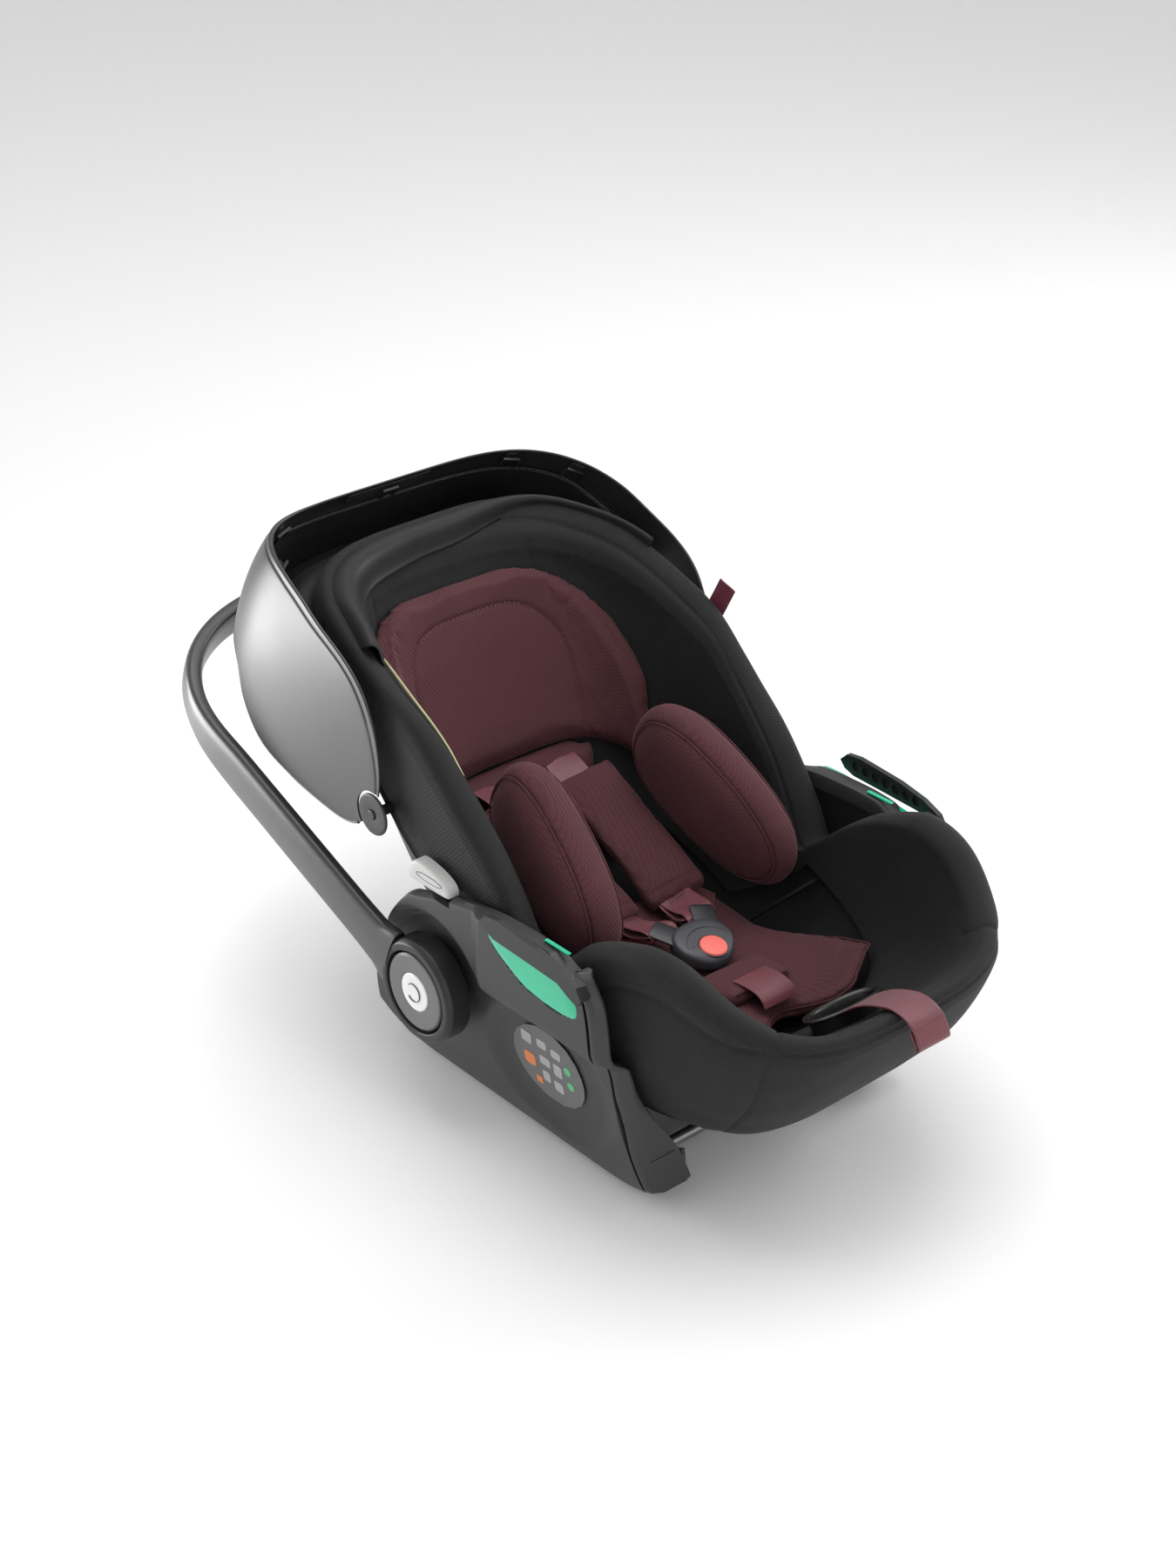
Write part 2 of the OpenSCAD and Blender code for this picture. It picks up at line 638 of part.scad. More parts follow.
// Fixed fabric between the back rim of the seat and the hood
module rear_gusset() {
    gusset_phi_at = [[0, 26], [120, 24], [175, 20], [200, 14]];
    function gusset_row(e, dz) =
        let(p = hood_profile(e, 13), x = p[0] * 0.93, phi = curve(abs(p[0]), gusset_phi_at),
            q = outline(90 - (90 - e) * 0.82, 40, -6), in = to_world(q[0], q[1], 38 - dz),
            out = hood_point(x, p[1], phi + dz * 0.2))
        [for (j = [0:3]) mix(in, out, j / 3)];
    color(fabric) seated()
    sheet([for (e = [30:12:150]) gusset_row(e, 4)], [for (e = [30:12:150]) gusset_row(e, 0)], true);
}

// ---- infant insert ----
// Pad lying on the inside of the seat between angles a0 and a1
module lining_pad(a0, a1, steps, top, bottom, thick, side_drop) {
    rows = [for (i = [0:steps]) mix(a0, a1, i / steps)];
    function pad_v(a, f) =
        let(off = abs(a - 90) / abs(a0 - 90))
        mix(top + side_drop * pow(off, 3), bottom, f);
    sheet(
        [for (a = rows) [for (f = [0:0.2:1.01]) seat_point(a, pad_v(a, f), rim_w + 2.5 + thick)]],
        [for (a = rows) [for (f = [0:0.2:1.01]) seat_point(a, pad_v(a, f), rim_w + 2.5)]]
    );
}
module head_pad() {
    color(maroon) seated()
    lining_pad(24, 156, 22, 27, 148, 10, 30);
}
module torso_pad() {
    color(maroon) seated()
    lining_pad(60, 120, 10, 151, 232, 9, 0);
}
bolster_x = 98;
module bolster(s) {
    on_side(s)
    translate([bolster_x, -54, 245]) rotate([-58, 0, 0]) rotate([0, -8, 0]) pillow([34, 58, 106], 2.3);
}
module bolster_left() { color(maroon) seated() bolster(near); }
module bolster_right() { color(maroon) seated() bolster(far); }
pad_t = 18;
function seat_pad_z(x, y) =
    140 + 30 * pow(abs(x) / 110, 2) * smooth((-y - 100) / 160) + 12 * smooth((-y - 200) / 110)
    + 0.12 * max(0, y + 120);
function seat_pad_row(k, dz, inset) =
    let(
        side = mix(-1, 1, k),
        lobe = 26 * pow(sin(180 * abs(side)), 1.5),
        y0 = -250 - lobe + inset,
        y1 = -20 - inset
    )
    [for (j = [0:8])
        let(y = mix(y0, y1, j / 8), x = side * (98 + 18 * smooth((-y - 120) / 90) - inset))
        [x, y, seat_pad_z(x, y) - dz]];
module seat_pad() {
    ks = [for (k = [0:0.0625:1.001]) k];
    color(maroon) seated()
    sheet([for (k = ks) seat_pad_row(k, 0, 0)], [for (k = ks) seat_pad_row(k, pad_t, 12)]);
}

// ---- harness ----
// Frame of each shoulder pad: along = up the chest, out = away from the back
pad_foot = [36, -77, 175];
pad_len = 170;
module on_chest(s) {
    on_side(s) translate(pad_foot) rotate([harness_slope, 0, 0]) rotate([0, -13, -4]) children();
}
// A strap through points [x, y, z, roll]; roll lifts its +X edge
module ribbon(path, width, thick) {
    last = len(path) - 1;
    loft([for (i = [0:last])
        let(p = path[i], a = path[max(i - 1, 0)], b = path[min(i + 1, last)],
            t = [b[1] - a[1], b[2] - a[2]] / norm([b[1] - a[1], b[2] - a[2]]),
            c = [p[0], p[1], p[2]], w = [cos(p[3]), 0, sin(p[3])] * width / 2,
            n = [0, -t[1], t[0]] * thick / 2)
        [c - w - n, c + w - n, c + w + n, c - w + n]]);
}
webbing_path = [
    [46, 112, 236, 6], [42.5, 86, 229, 12], [39, 36, 209, 13], [35, -22, 185.6, 13], [32, -66, 167.8, 13],
    [29, -92, 164, 8], [25, -106, 168, 2], [23, -114, 172, 0]
];
module shoulder_webbing() {
    color(burgundy) seated()
    for (s = [near, far]) on_side(s) ribbon(webbing_path, webbing_w, webbing_t);
}
pad_slot_z = -10.5;
module shoulder_pad(s) {
    on_chest(s)
    difference() {
        translate([-34, 0, -21]) minkowski() {
            translate([5, 5, 5]) cube([58, pad_len - 10, 12]);
            sphere(r = 5, $fn = 12);
        }
        translate([-webbing_w / 2 - 7.6, -5, pad_slot_z - 3]) cube([webbing_w + 8, pad_len + 10, 7]);
    }
}
module shoulder_pad_left() { color(maroon) seated() shoulder_pad(near); }
module shoulder_pad_right() { color(maroon) seated() shoulder_pad(far); }
buckle = [0, -149, 156];
module at_buckle() {
    translate(buckle) rotate([14, 0, 0]) children();
}
lap_path = [[33, -114, 158, -20], [40, -104, 156, -25], [58, -86, 153, -25], [80, -62, 152, -20]];
module lap_webbing() {
    color(burgundy) seated()
    for (s = [near, far]) on_side(s) ribbon(lap_path, 22, webbing_t);
}
module tongue(s) {
    at_buckle() translate([s * 23, 30, 8]) rotate([0, 0, -s * 28]) difference() {
        translate([-12, -14, 0]) cube([24, 30, 3]);
        translate([-8, 6, -1]) cube([16, 5, 5]);
    }
}
module tongue_left() { color("#55565a") seated() tongue(-1); }
module tongue_right() { color("#55565a") seated() tongue(1); }
button_well_r = 13.5;
module buckle_body() {
    color("#3a3b40") seated()
    at_buckle() difference() {
        hull() {
            translate([0, 6, 0]) scale([1.2, 1, 1]) cylinder(h = 14, r = 26, $fn = 32);
            translate([-22, -24, 0]) cube([44, 10, 12]);
        }
        translate([0, -6, 5]) cylinder(h = 20, r = button_well_r + 0.5);
        for (s = [-1, 1])
            translate([s * 23, 30, 7.4])
            rotate([0, 0, -s * 28])
            translate([-12.6, -15, 0])
            cube([25.2, 40, 4.2]);
    }
}
module buckle_button() {
    color("#f06a66") seated()
    at_buckle() translate([0, -6, 9]) cylinder(h = 7, r = button_well_r);
}
module buckle_pad() {
    color(maroon) seated()
    translate([0, -199, 150.4]) rotate([-7, 0, 0]) pillow([40, 26, 8.4], 3, 20, 7);
}
module crotch_strap() {
    color(burgundy) seated()
    translate([-20, -234, 161.5]) rotate([-3, 0, 0]) cube([40, 14, webbing_t + 0.4]);
}

// ---- harness adjuster in the front of the seat ----
cup = [0, -321, 184];
cup_rx = 43;
cup_ry = 23;
module at_cup() {
    translate(cup) rotate([-30, 0, 0]) children();
}
// Opening for the cup through the cover and the liner
module cup_hole() {
    at_cup() translate([0, 0, -22]) linear_extrude(21.9) scale([1, (cup_ry - 1) / (cup_rx - 4)])
        circle(r = cup_rx - 4);
}
module adjuster_bezel() {
    color(black) seated()
    at_cup() difference() {
        union() {
            linear_extrude(3) scale([1, cup_ry / cup_rx]) circle(r = cup_rx);
            translate([0, 0, -20]) linear_extrude(20.01) scale([1, cup_ry / cup_rx]) circle(r = cup_rx - 5);
        }
        translate([0, 0, -18])
        linear_extrude(30)
        scale([1, (cup_ry - 3) / (cup_rx - 8)])
        circle(r = cup_rx - 8);
    }
    color(black) seated()
    at_cup() for (s = [near, far]) on_side(s) difference() {
        translate([16.4, lever_pin[0] - 4, -18.5]) cube([4, 8, 15]);
        translate([15, lever_pin[0], lever_pin[1]]) rotate([0, 90, 0]) cylinder(h = 8, r = 2.2 + running_gap);
    }
}
// Place of the lever's pin in the cup: [up the slope, out of the cup]
lever_pin = [11.8, -8];
module adjuster_lever() {
    color("#55565a") seated()
    at_cup() translate([0, lever_pin[0], lever_pin[1]]) {
        translate([-15, -17.8, -1.5]) cube([30, 18, 3]);
        rotate([0, 90, 0]) translate([0, 0, -20]) cylinder(h = 40, r = 2.2);
    }
}
strap_line = [
    [-340, 197.5], [-349, 205], [-361, 213], [-375, 219.5], [-392, 224.5], [-408, 222.5], [-419, 214],
    [-424, 203]
];
module pull_strap() {
    color(burgundy) seated()
    loft([for (i = [0:len(strap_line) - 1])
        let(p = strap_line[i], a = strap_line[max(i - 1, 0)], b = strap_line[min(i + 1, len(strap_line) - 1)],
            t = (b - a) / norm(b - a), n = [-t[1], t[0]] * -webbing_t)
        [[-19, p[0], p[1]],
         [19, p[0], p[1]],
         [19, p[0] + n[0], p[1] + n[1]],
         [-19, p[0] + n[0], p[1] + n[1]]]], true);
}

seat_shell();
foam_liner();
cover_front();
cover_back();
rear_gusset();
side_panel_left();
side_panel_right();
front_pillar_left();
front_pillar_right();
base_deck();
front_bar();
rear_bar();
deck_screws();
belt_guide_left();
belt_guide_right();
belt_hook_left();
belt_hook_right();
rail_window_left();
rail_window_right();
adapter_socket_left();
adapter_socket_right();
release_lever_left();
release_lever_right();
side_label_left();
side_label_right();
hub_gears();
hub_axles();
handle_bar();
hub_housing_left();
hub_housing_right();
hub_springs();
hub_button_left();
hub_button_right();
hub_badge_left();
hub_badge_right();
hood_band();
hood_hinge_plates();
hood_rivets();
hood_clips();
hood_zip();
hood_lining();
head_pad();
torso_pad();
bolster_left();
bolster_right();
seat_pad();
shoulder_webbing();
shoulder_pad_left();
shoulder_pad_right();
lap_webbing();
tongue_left();
tongue_right();
buckle_body();
buckle_button();
buckle_pad();
crotch_strap();
adjuster_bezel();
adjuster_lever();
pull_strap();
rim_tag();
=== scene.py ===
import math

import bmesh
import bpy
import numpy as np
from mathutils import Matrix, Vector
from mathutils.bvhtree import BVHTree

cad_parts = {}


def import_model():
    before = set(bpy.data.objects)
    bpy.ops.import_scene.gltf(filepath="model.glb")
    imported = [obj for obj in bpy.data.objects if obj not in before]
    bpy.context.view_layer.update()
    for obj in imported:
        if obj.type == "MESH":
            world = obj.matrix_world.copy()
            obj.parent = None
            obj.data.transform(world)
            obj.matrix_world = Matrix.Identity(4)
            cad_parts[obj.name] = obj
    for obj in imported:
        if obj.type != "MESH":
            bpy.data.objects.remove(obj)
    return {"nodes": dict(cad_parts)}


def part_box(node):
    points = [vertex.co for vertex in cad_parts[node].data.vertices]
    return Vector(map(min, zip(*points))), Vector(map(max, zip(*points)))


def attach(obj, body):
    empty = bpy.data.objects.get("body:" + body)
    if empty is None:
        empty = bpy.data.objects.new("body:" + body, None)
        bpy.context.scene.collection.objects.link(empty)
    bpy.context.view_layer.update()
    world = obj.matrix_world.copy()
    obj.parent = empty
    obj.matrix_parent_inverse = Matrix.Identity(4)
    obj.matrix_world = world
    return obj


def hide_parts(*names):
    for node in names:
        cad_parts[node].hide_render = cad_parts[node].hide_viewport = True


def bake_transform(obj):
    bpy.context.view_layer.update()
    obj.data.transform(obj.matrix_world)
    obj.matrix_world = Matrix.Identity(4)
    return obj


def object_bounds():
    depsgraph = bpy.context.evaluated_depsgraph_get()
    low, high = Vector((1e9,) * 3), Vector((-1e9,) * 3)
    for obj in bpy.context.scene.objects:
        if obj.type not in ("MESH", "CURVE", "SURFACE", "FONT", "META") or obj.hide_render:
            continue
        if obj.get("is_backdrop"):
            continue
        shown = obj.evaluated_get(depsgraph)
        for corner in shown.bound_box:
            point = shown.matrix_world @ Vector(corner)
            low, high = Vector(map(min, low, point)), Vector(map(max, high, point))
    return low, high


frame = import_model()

CAD_LOW, CAD_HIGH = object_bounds()
NODES = frame["nodes"]
hub_lo, hub_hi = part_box("hub_housing_left")
OY = (hub_lo[1] + hub_hi[1]) / 2
HZ = (hub_lo[2] + hub_hi[2]) / 2 * 1000
SIDES = ((-1, "left"), (1, "right"))


# ---------------------------------------------------------------- points and meshes
def M(p):
    """From millimetres, with y 0 at the handle's hinge and z 0 on the floor, to the frame."""
    return np.asarray(p, float) / 1000 + [0, OY, 0]


def unframed(p):
    """The way back from M()."""
    return (np.asarray(p) - [0, OY, 0]) * 1000


def curve(x, table):
    """A smooth curve through a table's points, held level past its ends."""
    p = np.array(table, float)
    X, Y = p[:, 0], p[:, 1]
    k = np.arange(len(X))
    a, b = np.maximum(k - 1, 0), np.minimum(k + 1, len(X) - 1)
    S = (Y[b] - Y[a]) / (X[b] - X[a])
    x = np.clip(x, X[0], X[-1])
    i = np.clip(np.searchsorted(X, x, side="right") - 1, 0, len(X) - 2)
    h = X[i + 1] - X[i]
    t = (x - X[i]) / h
    return ((2 * t**3 - 3 * t**2 + 1) * Y[i] + (t**3 - 2 * t**2 + t) * S[i] * h
            + (3 * t**2 - 2 * t**3) * Y[i + 1] + (t**3 - t**2) * S[i + 1] * h)


def smooth(t):
    """Rises from 0 to 1 as t does, with level ends."""
    t = np.clip(t, 0, 1)
    return t * t * (3 - 2 * t)


def spow(x, p):
    """A power that keeps its sign, for superellipses."""
    return np.sign(x) * np.abs(x) ** p


def mix(a, b, t):
    return a + (b - a) * t


def rot(axis, deg):
    c, s = math.cos(math.radians(deg)), math.sin(math.radians(deg))
    return {"x": np.array([[1, 0, 0], [0, c, -s], [0, s, c]]),
            "y": np.array([[c, 0, s], [0, 1, 0], [-s, 0, c]]),
            "z": np.array([[c, -s, 0], [s, c, 0], [0, 0, 1]])}[axis]


def spline(points, n, closed=False):
    """n points evenly along a Catmull-Rom curve through points."""
    P = np.array(points, float)
    if closed:
        P = np.vstack([P[-1], P, P[0], P[1]])
    else:
        P = np.vstack([2 * P[0] - P[1], P, 2 * P[-1] - P[-2]])
    out = []
    for i in range(1, len(P) - 2):
        t = np.linspace(0, 1, 24, endpoint=False)[:, None]
        a, b, c, d = P[i - 1], P[i], P[i + 1], P[i + 2]
        out.append(0.5 * (2 * b + (c - a) * t + (2 * a - 5 * b + 4 * c - d) * t**2
                          + (3 * b - a - 3 * c + d) * t**3))
    out = np.vstack(out + [P[-2][None]])
    s = run_length(out)
    want = np.linspace(0, s[-1], n + 1)[:-1] if closed else np.linspace(0, s[-1], n)
    return np.stack([np.interp(want, s, out[:, k]) for k in range(out.shape[1])], -1)


def unit(v):
    return v / np.maximum(np.linalg.norm(v, axis=-1, keepdims=True), 1e-9)


def normals(G, wrap=False):
    du = np.roll(G, -1, 0) - np.roll(G, 1, 0) if wrap else np.gradient(G, axis=0)
    return unit(np.cross(du, np.gradient(G, axis=1)))


def facing(G, at, towards):
    """A grid's normals, on the side where the one at a grid point looks towards a direction."""
    N = normals(G)
    return -N if np.dot(N[at], towards) < 0 else N


def run_length(P):
    """Distance along a row of points."""
    return np.concatenate([[0], np.cumsum(np.linalg.norm(np.diff(P, axis=0), axis=1))])


def arcs(G):
    """Distances along both directions of a grid, as the fabric's thread coordinates."""
    a = np.zeros(G.shape[:2])
    b = np.zeros(G.shape[:2])
    a[1:] = np.cumsum(np.linalg.norm(np.diff(G, axis=0), axis=2), axis=0)
    b[:, 1:] = np.cumsum(np.linalg.norm(np.diff(G, axis=1), axis=2), axis=1)
    a = np.broadcast_to(a[:, a.shape[1] // 2][:, None], a.shape)
    return np.stack([a, b, 0 * a], -1)


def quads(idx, wrap=False):
    """Four-sided faces between the vertex numbers of a grid."""
    if wrap:
        idx = np.vstack([idx, idx[:1]])
    return np.stack([idx[:-1, :-1], idx[1:, :-1], idx[1:, 1:], idx[:-1, 1:]], -1).reshape(-1, 4)


def strip(ring, other, closed=True):
    """A row of faces between two rings of vertex numbers."""
    a, b = np.asarray(ring), np.asarray(other)
    if closed:
        a, b = np.append(a, a[0]), np.append(b, b[0])
    return np.stack([a[:-1], a[1:], b[1:], b[:-1]], -1)


def numbered(G):
    """Vertex numbers of a grid's points."""
    n, k = G.shape[:2]
    return np.arange(n * k).reshape(n, k)


def tube_faces(G, torus=False):
    """Faces of a grid of rings, with flat caps at both ends unless the last ring meets the first."""
    idx = numbered(G)
    side = quads(np.hstack([idx, idx[:, :1]]), torus)
    return [side] if torus else [side, idx[:1], idx[-1:, ::-1]]


def to_tip(ring, tip):
    """Triangles from a ring of vertex numbers to one point."""
    return np.stack([ring, np.roll(ring, -1), np.full(len(ring), tip)], -1)


def slab_faces(G):
    """The edge ring and both faces of two grids of this shape, one numbered after the other."""
    t = numbered(G)
    ring = np.concatenate([t[0, :], t[1:, -1], t[-1, -2::-1], t[-2:0:-1, 0]])
    return ring, [quads(t), quads(t)[:, ::-1] + t.size]


def make(name, P, faces, material, body="root", slot=None, nodes=(), weave=None, sharp=40, raw=False):
    """A mesh piece from points in mm and face arrays, riding on its body."""
    me = bpy.data.meshes.new(name)
    P = np.asarray(P, float).reshape(-1, 3)
    faces = [np.asarray(f, np.int32) for f in faces if len(f)]
    sizes = np.concatenate([np.full(len(f), f.shape[1]) for f in faces])
    loops = np.concatenate([f.ravel() for f in faces])
    me.vertices.add(len(P))
    me.vertices.foreach_set("co", M(P).ravel())
    me.loops.add(len(loops))
    me.loops.foreach_set("vertex_index", loops)
    me.polygons.add(len(sizes))
    me.polygons.foreach_set("loop_start", np.concatenate([[0], np.cumsum(sizes)[:-1]]))
    me.update(calc_edges=True)
    me.validate()
    if not raw:
        bm = bmesh.new()
        bm.from_mesh(me)
        bmesh.ops.recalc_face_normals(bm, faces=bm.faces)
        bm.to_mesh(me)
        bm.free()
    if weave is not None:
        at = me.attributes.new("weave", "FLOAT_VECTOR", "POINT")
        at.data.foreach_set("vector", (np.asarray(weave, float).reshape(-1, 3) / 1000).ravel())
    return finish_piece(name, me, material, body, nodes, sharp)


def finish_piece(name, me, material, body, nodes=(), sharp=40):
    """An object of a mesh, with its material, body and the CAD nodes it stands for."""
    me.shade_smooth()
    if sharp:
        me.set_sharp_from_angle(angle=math.radians(sharp))
    me.materials.clear()
    me.materials.append(material)
    o = bpy.data.objects.new(name, me)
    bpy.context.scene.collection.objects.link(o)
    if body:
        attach(o, body)
    if nodes:
        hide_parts(*nodes)
    return o


def stack(*grids):
    """The points of several grids, one after the other."""
    return np.vstack([np.reshape(g, (-1, 3)) for g in grids])


def slab_form(top, bottom):
    """Points and faces of a closed piece between two grids of the same size."""
    ring, faces = slab_faces(top)
    return stack(top, bottom), faces + [strip(ring, ring + top[..., 0].size)]


def slab(name, top, bottom, material, **kw):
    """A closed piece between two grids of the same size."""
    w = kw.pop("weave", None)
    w = arcs(top) if w is None else w
    return make(name, *slab_form(top, bottom), material, weave=stack(w, w), **kw)


def frames(path, closed=False, up=None):
    """Tangent, side and normal along a path."""
    T = np.roll(path, -1, 0) - np.roll(path, 1, 0) if closed else np.gradient(path, axis=0)
    T = unit(T)
    if up is not None:
        S = unit(np.cross(T, np.broadcast_to(np.asarray(up, float), T.shape)))
        return T, S, np.cross(S, T)
    S = np.zeros_like(T)
    s = np.cross(T[0], [0.13, 0.21, 0.97])
    for i in range(len(T)):
        s = s - T[i] * np.dot(s, T[i])
        s = s / np.linalg.norm(s)
        S[i] = s
    return T, S, np.cross(S, T)


def sweep(name, path, section, material, closed=False, up=None, **kw):
    """A section (k, 2) swept along a path; the ends are capped."""
    path = np.asarray(path, float)
    section = np.asarray(section, float)
    T, S, N = frames(path, closed, up)
    G = path[:, None] + S[:, None] * section[None, :, :1] + N[:, None] * section[None, :, 1:]
    idx = numbered(G)
    P = G.reshape(-1, 3)
    f = [quads(np.hstack([idx, idx[:, :1]]), wrap=closed)]
    w = arcs(np.concatenate([G, G[:, :1]], 1))[:, :-1].reshape(-1, 3)
    if not closed:
        P = np.vstack([P, path[0], path[-1]])
        f += [to_tip(idx[0], idx.size)[:, [1, 0, 2]], to_tip(idx[-1], idx.size + 1)]
        w = np.vstack([w, w[0], w[-1]])
    return make(name, P, f, material, weave=w, **kw)


def circle(r, k=8, rz=None):
    """A round section of k points, or an oval one."""
    a = np.linspace(0, 2 * np.pi, k, endpoint=False)
    return np.stack([r * np.cos(a), (rz or r) * np.sin(a)], -1)


def round_box(w, h, r, k=4):
    """Outline of a rounded rectangle, w by h."""
    x, y = w / 2 - r, h / 2 - r
    out = []
    for q, corner in enumerate([(x, y), (-x, y), (-x, -y), (x, -y)]):
        for a in math.pi / 2 * (q + np.arange(k) / (k - 1)):
            out.append([corner[0] + r * math.cos(a), corner[1] + r * math.sin(a)])
    return np.array(out)


def stitches(name, path, material, body="root", length=3.2, gap=2.0, r=0.38, lift=0.15, out=None, slot=None):
    """A row of short threads lying along a path."""
    path = np.asarray(path, float)
    s = run_length(path)
    P, F = [], []
    at = gap / 2
    while at + length < s[-1]:
        a, b = [np.array([np.interp(q, s, path[:, k]) for k in range(3)]) for q in (at, at + length)]
        t = unit(b - a)
        n = np.array([0, 0, 1.0]) if out is None else unit(np.asarray(out, float))
        u = unit(np.cross(t, n))
        n = np.cross(u, t)
        mid = (a + b) / 2 + n * lift
        i = len(P)
        P += [a - n * r, mid + u * r * 1.3, mid + n * r, mid - u * r * 1.3, mid - n * r, b - n * r]
        F += [[i, i + 1, i + 2], [i, i + 2, i + 3], [i, i + 3, i + 4], [i, i + 4, i + 1],
              [i + 5, i + 2, i + 1], [i + 5, i + 3, i + 2], [i + 5, i + 4, i + 3], [i + 5, i + 1, i + 4]]
        at += length + gap
    return make(name, P, [np.array(F)], material, body=body, slot=slot, raw=True)


def lathe(name, profile, material, x_sign=1, centre=None, n=120, **kw):
    """A closed profile [radius, x] turned about a line along X."""
    centre = [0, 0, HZ] if centre is None else centre
    p = np.array(profile, float)
    a = np.linspace(0, 2 * np.pi, n, endpoint=False)
    G = np.stack([np.broadcast_to(x_sign * p[None, :, 1], (n, len(p))),
                  centre[1] + np.cos(a)[:, None] * p[None, :, 0],
                  centre[2] + np.sin(a)[:, None] * p[None, :, 0]], -1)
    return make(name, G, tube_faces(G, torus=True), material, sharp=35, **kw)


def rounded(profile, r=0.8, k=4):
    """Rounds each corner of a closed profile."""
    p = np.array(profile, float)
    out = []
    for i in range(len(p)):
        a, b, c = p[i - 1], p[i], p[(i + 1) % len(p)]
        la, lc = np.linalg.norm(a - b), np.linalg.norm(c - b)
        q = min(r, la * 0.45, lc * 0.45)
        u, v = b + (a - b) / la * q, b + (c - b) / lc * q
        for t in np.linspace(0, 1, k):
            out.append((1 - t) ** 2 * u + 2 * t * (1 - t) * b + t**2 * v)
    return np.array(out)


def wobble(P, size, amount, seed=0):
    """Slow unevenness of hand-fitted fabric: a sum of seeded waves."""
    g = np.random.default_rng(seed)
    out = np.zeros(P.shape[:-1])
    for k in range(7):
        d = unit(g.normal(size=3)) * 2 * np.pi / (size * g.uniform(0.6, 1.7))
        out += np.sin(P @ d + g.uniform(0, 6.28)) / 7
    return out * amount * 1.8


def groove(x, depth=2.4, width=2.0, pull=1.5, reach=11.0):
    """Profile of a seam: a sharp valley in a wider pull."""
    return -depth * np.exp(-((x / width) ** 2)) - pull * np.exp(-((x / reach) ** 2))


# ---------------------------------------------------------------- materials
def new_material(name, colour, rough, **sockets):
    m = bpy.data.materials.new(name)
    m.use_nodes = True
    nt = m.node_tree
    b = nt.nodes["Principled BSDF"]
    b.inputs["Base Color"].default_value = (*colour, 1)
    b.inputs["Roughness"].default_value = rough
    for k, v in sockets.items():
        b.inputs[k.replace("_", " ")].default_value = v
    return m, nt, b


def node(nt, kind, **inputs):
    """A shader node, with its type's own settings in lower case and its inputs' values capitalised."""
    n = nt.nodes.new("ShaderNode" + kind)
    for k, v in inputs.items():
        if k[0].isupper():
            n.inputs[k].default_value = v
        else:
            setattr(n, k, v)
    return n


def math_node(nt, op, a, b):
    n = node(nt, "Math", operation=op)
    for k, v in enumerate((a, b)):
        if isinstance(v, (int, float)):
            n.inputs[k].default_value = v
        else:
            nt.links.new(v, n.inputs[k])
    return n.outputs[0]


def weighted(nt, a, wa, b, wb):
    """a * wa + b * wb."""
    return math_node(nt, "ADD", math_node(nt, "MULTIPLY", a, wa), math_node(nt, "MULTIPLY", b, wb))


def colour_by(nt, b, fac, stops):
    """Drives the base colour through a ramp of (position, colour) stops."""
    r = node(nt, "ValToRGB")
    e = r.color_ramp.elements
    e[0].position, e[0].color = stops[0][0], (*stops[0][1], 1)
    e[1].position, e[1].color = stops[-1][0], (*stops[-1][1], 1)
    for p, c in stops[1:-1]:
        e.new(p).color = (*c, 1)
    nt.links.new(fac, r.inputs[0])
    nt.links.new(r.outputs[0], b.inputs["Base Color"])


def bump(nt, b, height, strength, distance=0.0004):
    n = node(nt, "Bump", Strength=strength, Distance=distance)
    nt.links.new(height, n.inputs["Height"])
    nt.links.new(n.outputs[0], b.inputs["Normal"])


def shade(colour, k):
    return tuple(c * k for c in colour)


def waves(nt, vec, pitch, turn):
    """Parallel ribs, pitch metres apart, turned about the three axes."""
    turned = node(nt, "Mapping", Rotation=turn)
    nt.links.new(vec, turned.inputs[0])
    w = node(nt, "TexWave", wave_type="BANDS", bands_direction="X", wave_profile="SIN", Scale=0.314 / pitch)
    nt.links.new(turned.outputs[0], w.inputs[0])
    return w.outputs["Fac"]


def noise(nt, vec, scale, detail=2.0):
    n = node(nt, "TexNoise", Scale=scale, Detail=detail)
    nt.links.new(vec, n.inputs["Vector"])
    return n.outputs["Fac"]


def weave_of(nt):
    return node(nt, "Attribute", attribute_name="weave").outputs["Vector"]


def fabric(name, colour, rough=0.85, pitch=0.0024, object_space=False, contrast=0.35, strength=0.5,
           sheen=0.25, turns=((0, 0, 0.62), (0, 0, -0.95)), mottle=0.12):
    """Ribbed twill: two crossing sets of ribs, fine thread noise and a slow mottle."""
    m, nt, b = new_material(name, colour, rough, Sheen_Weight=sheen, Sheen_Roughness=0.4,
                            Specular_IOR_Level=0.28)
    b.inputs["Sheen Tint"].default_value = (*[min(1, c * 4 + 0.25) for c in colour], 1)
    pos = node(nt, "TexCoord").outputs["Object"]
    vec = pos if object_space else weave_of(nt)
    weave = weighted(nt, waves(nt, vec, pitch, turns[0]), 0.62, waves(nt, vec, pitch * 0.8, turns[1]), 0.38)
    height = weighted(nt, weave, 1.0, noise(nt, pos, 1500, 1), 0.35)
    tone = weighted(nt, height, contrast, noise(nt, pos, 14, 3), mottle * 3)
    span = contrast * 1.1 + mottle * 3
    spread = contrast * 0.75 + mottle
    colour_by(nt, b, tone, [(0.12 * span, shade(colour, 1 - spread)), (0.5 * span, colour),
                            (min(0.95, 0.9 * span), shade(colour, 1 + spread))])
    bump(nt, b, height, strength, 0.0005)
    return m


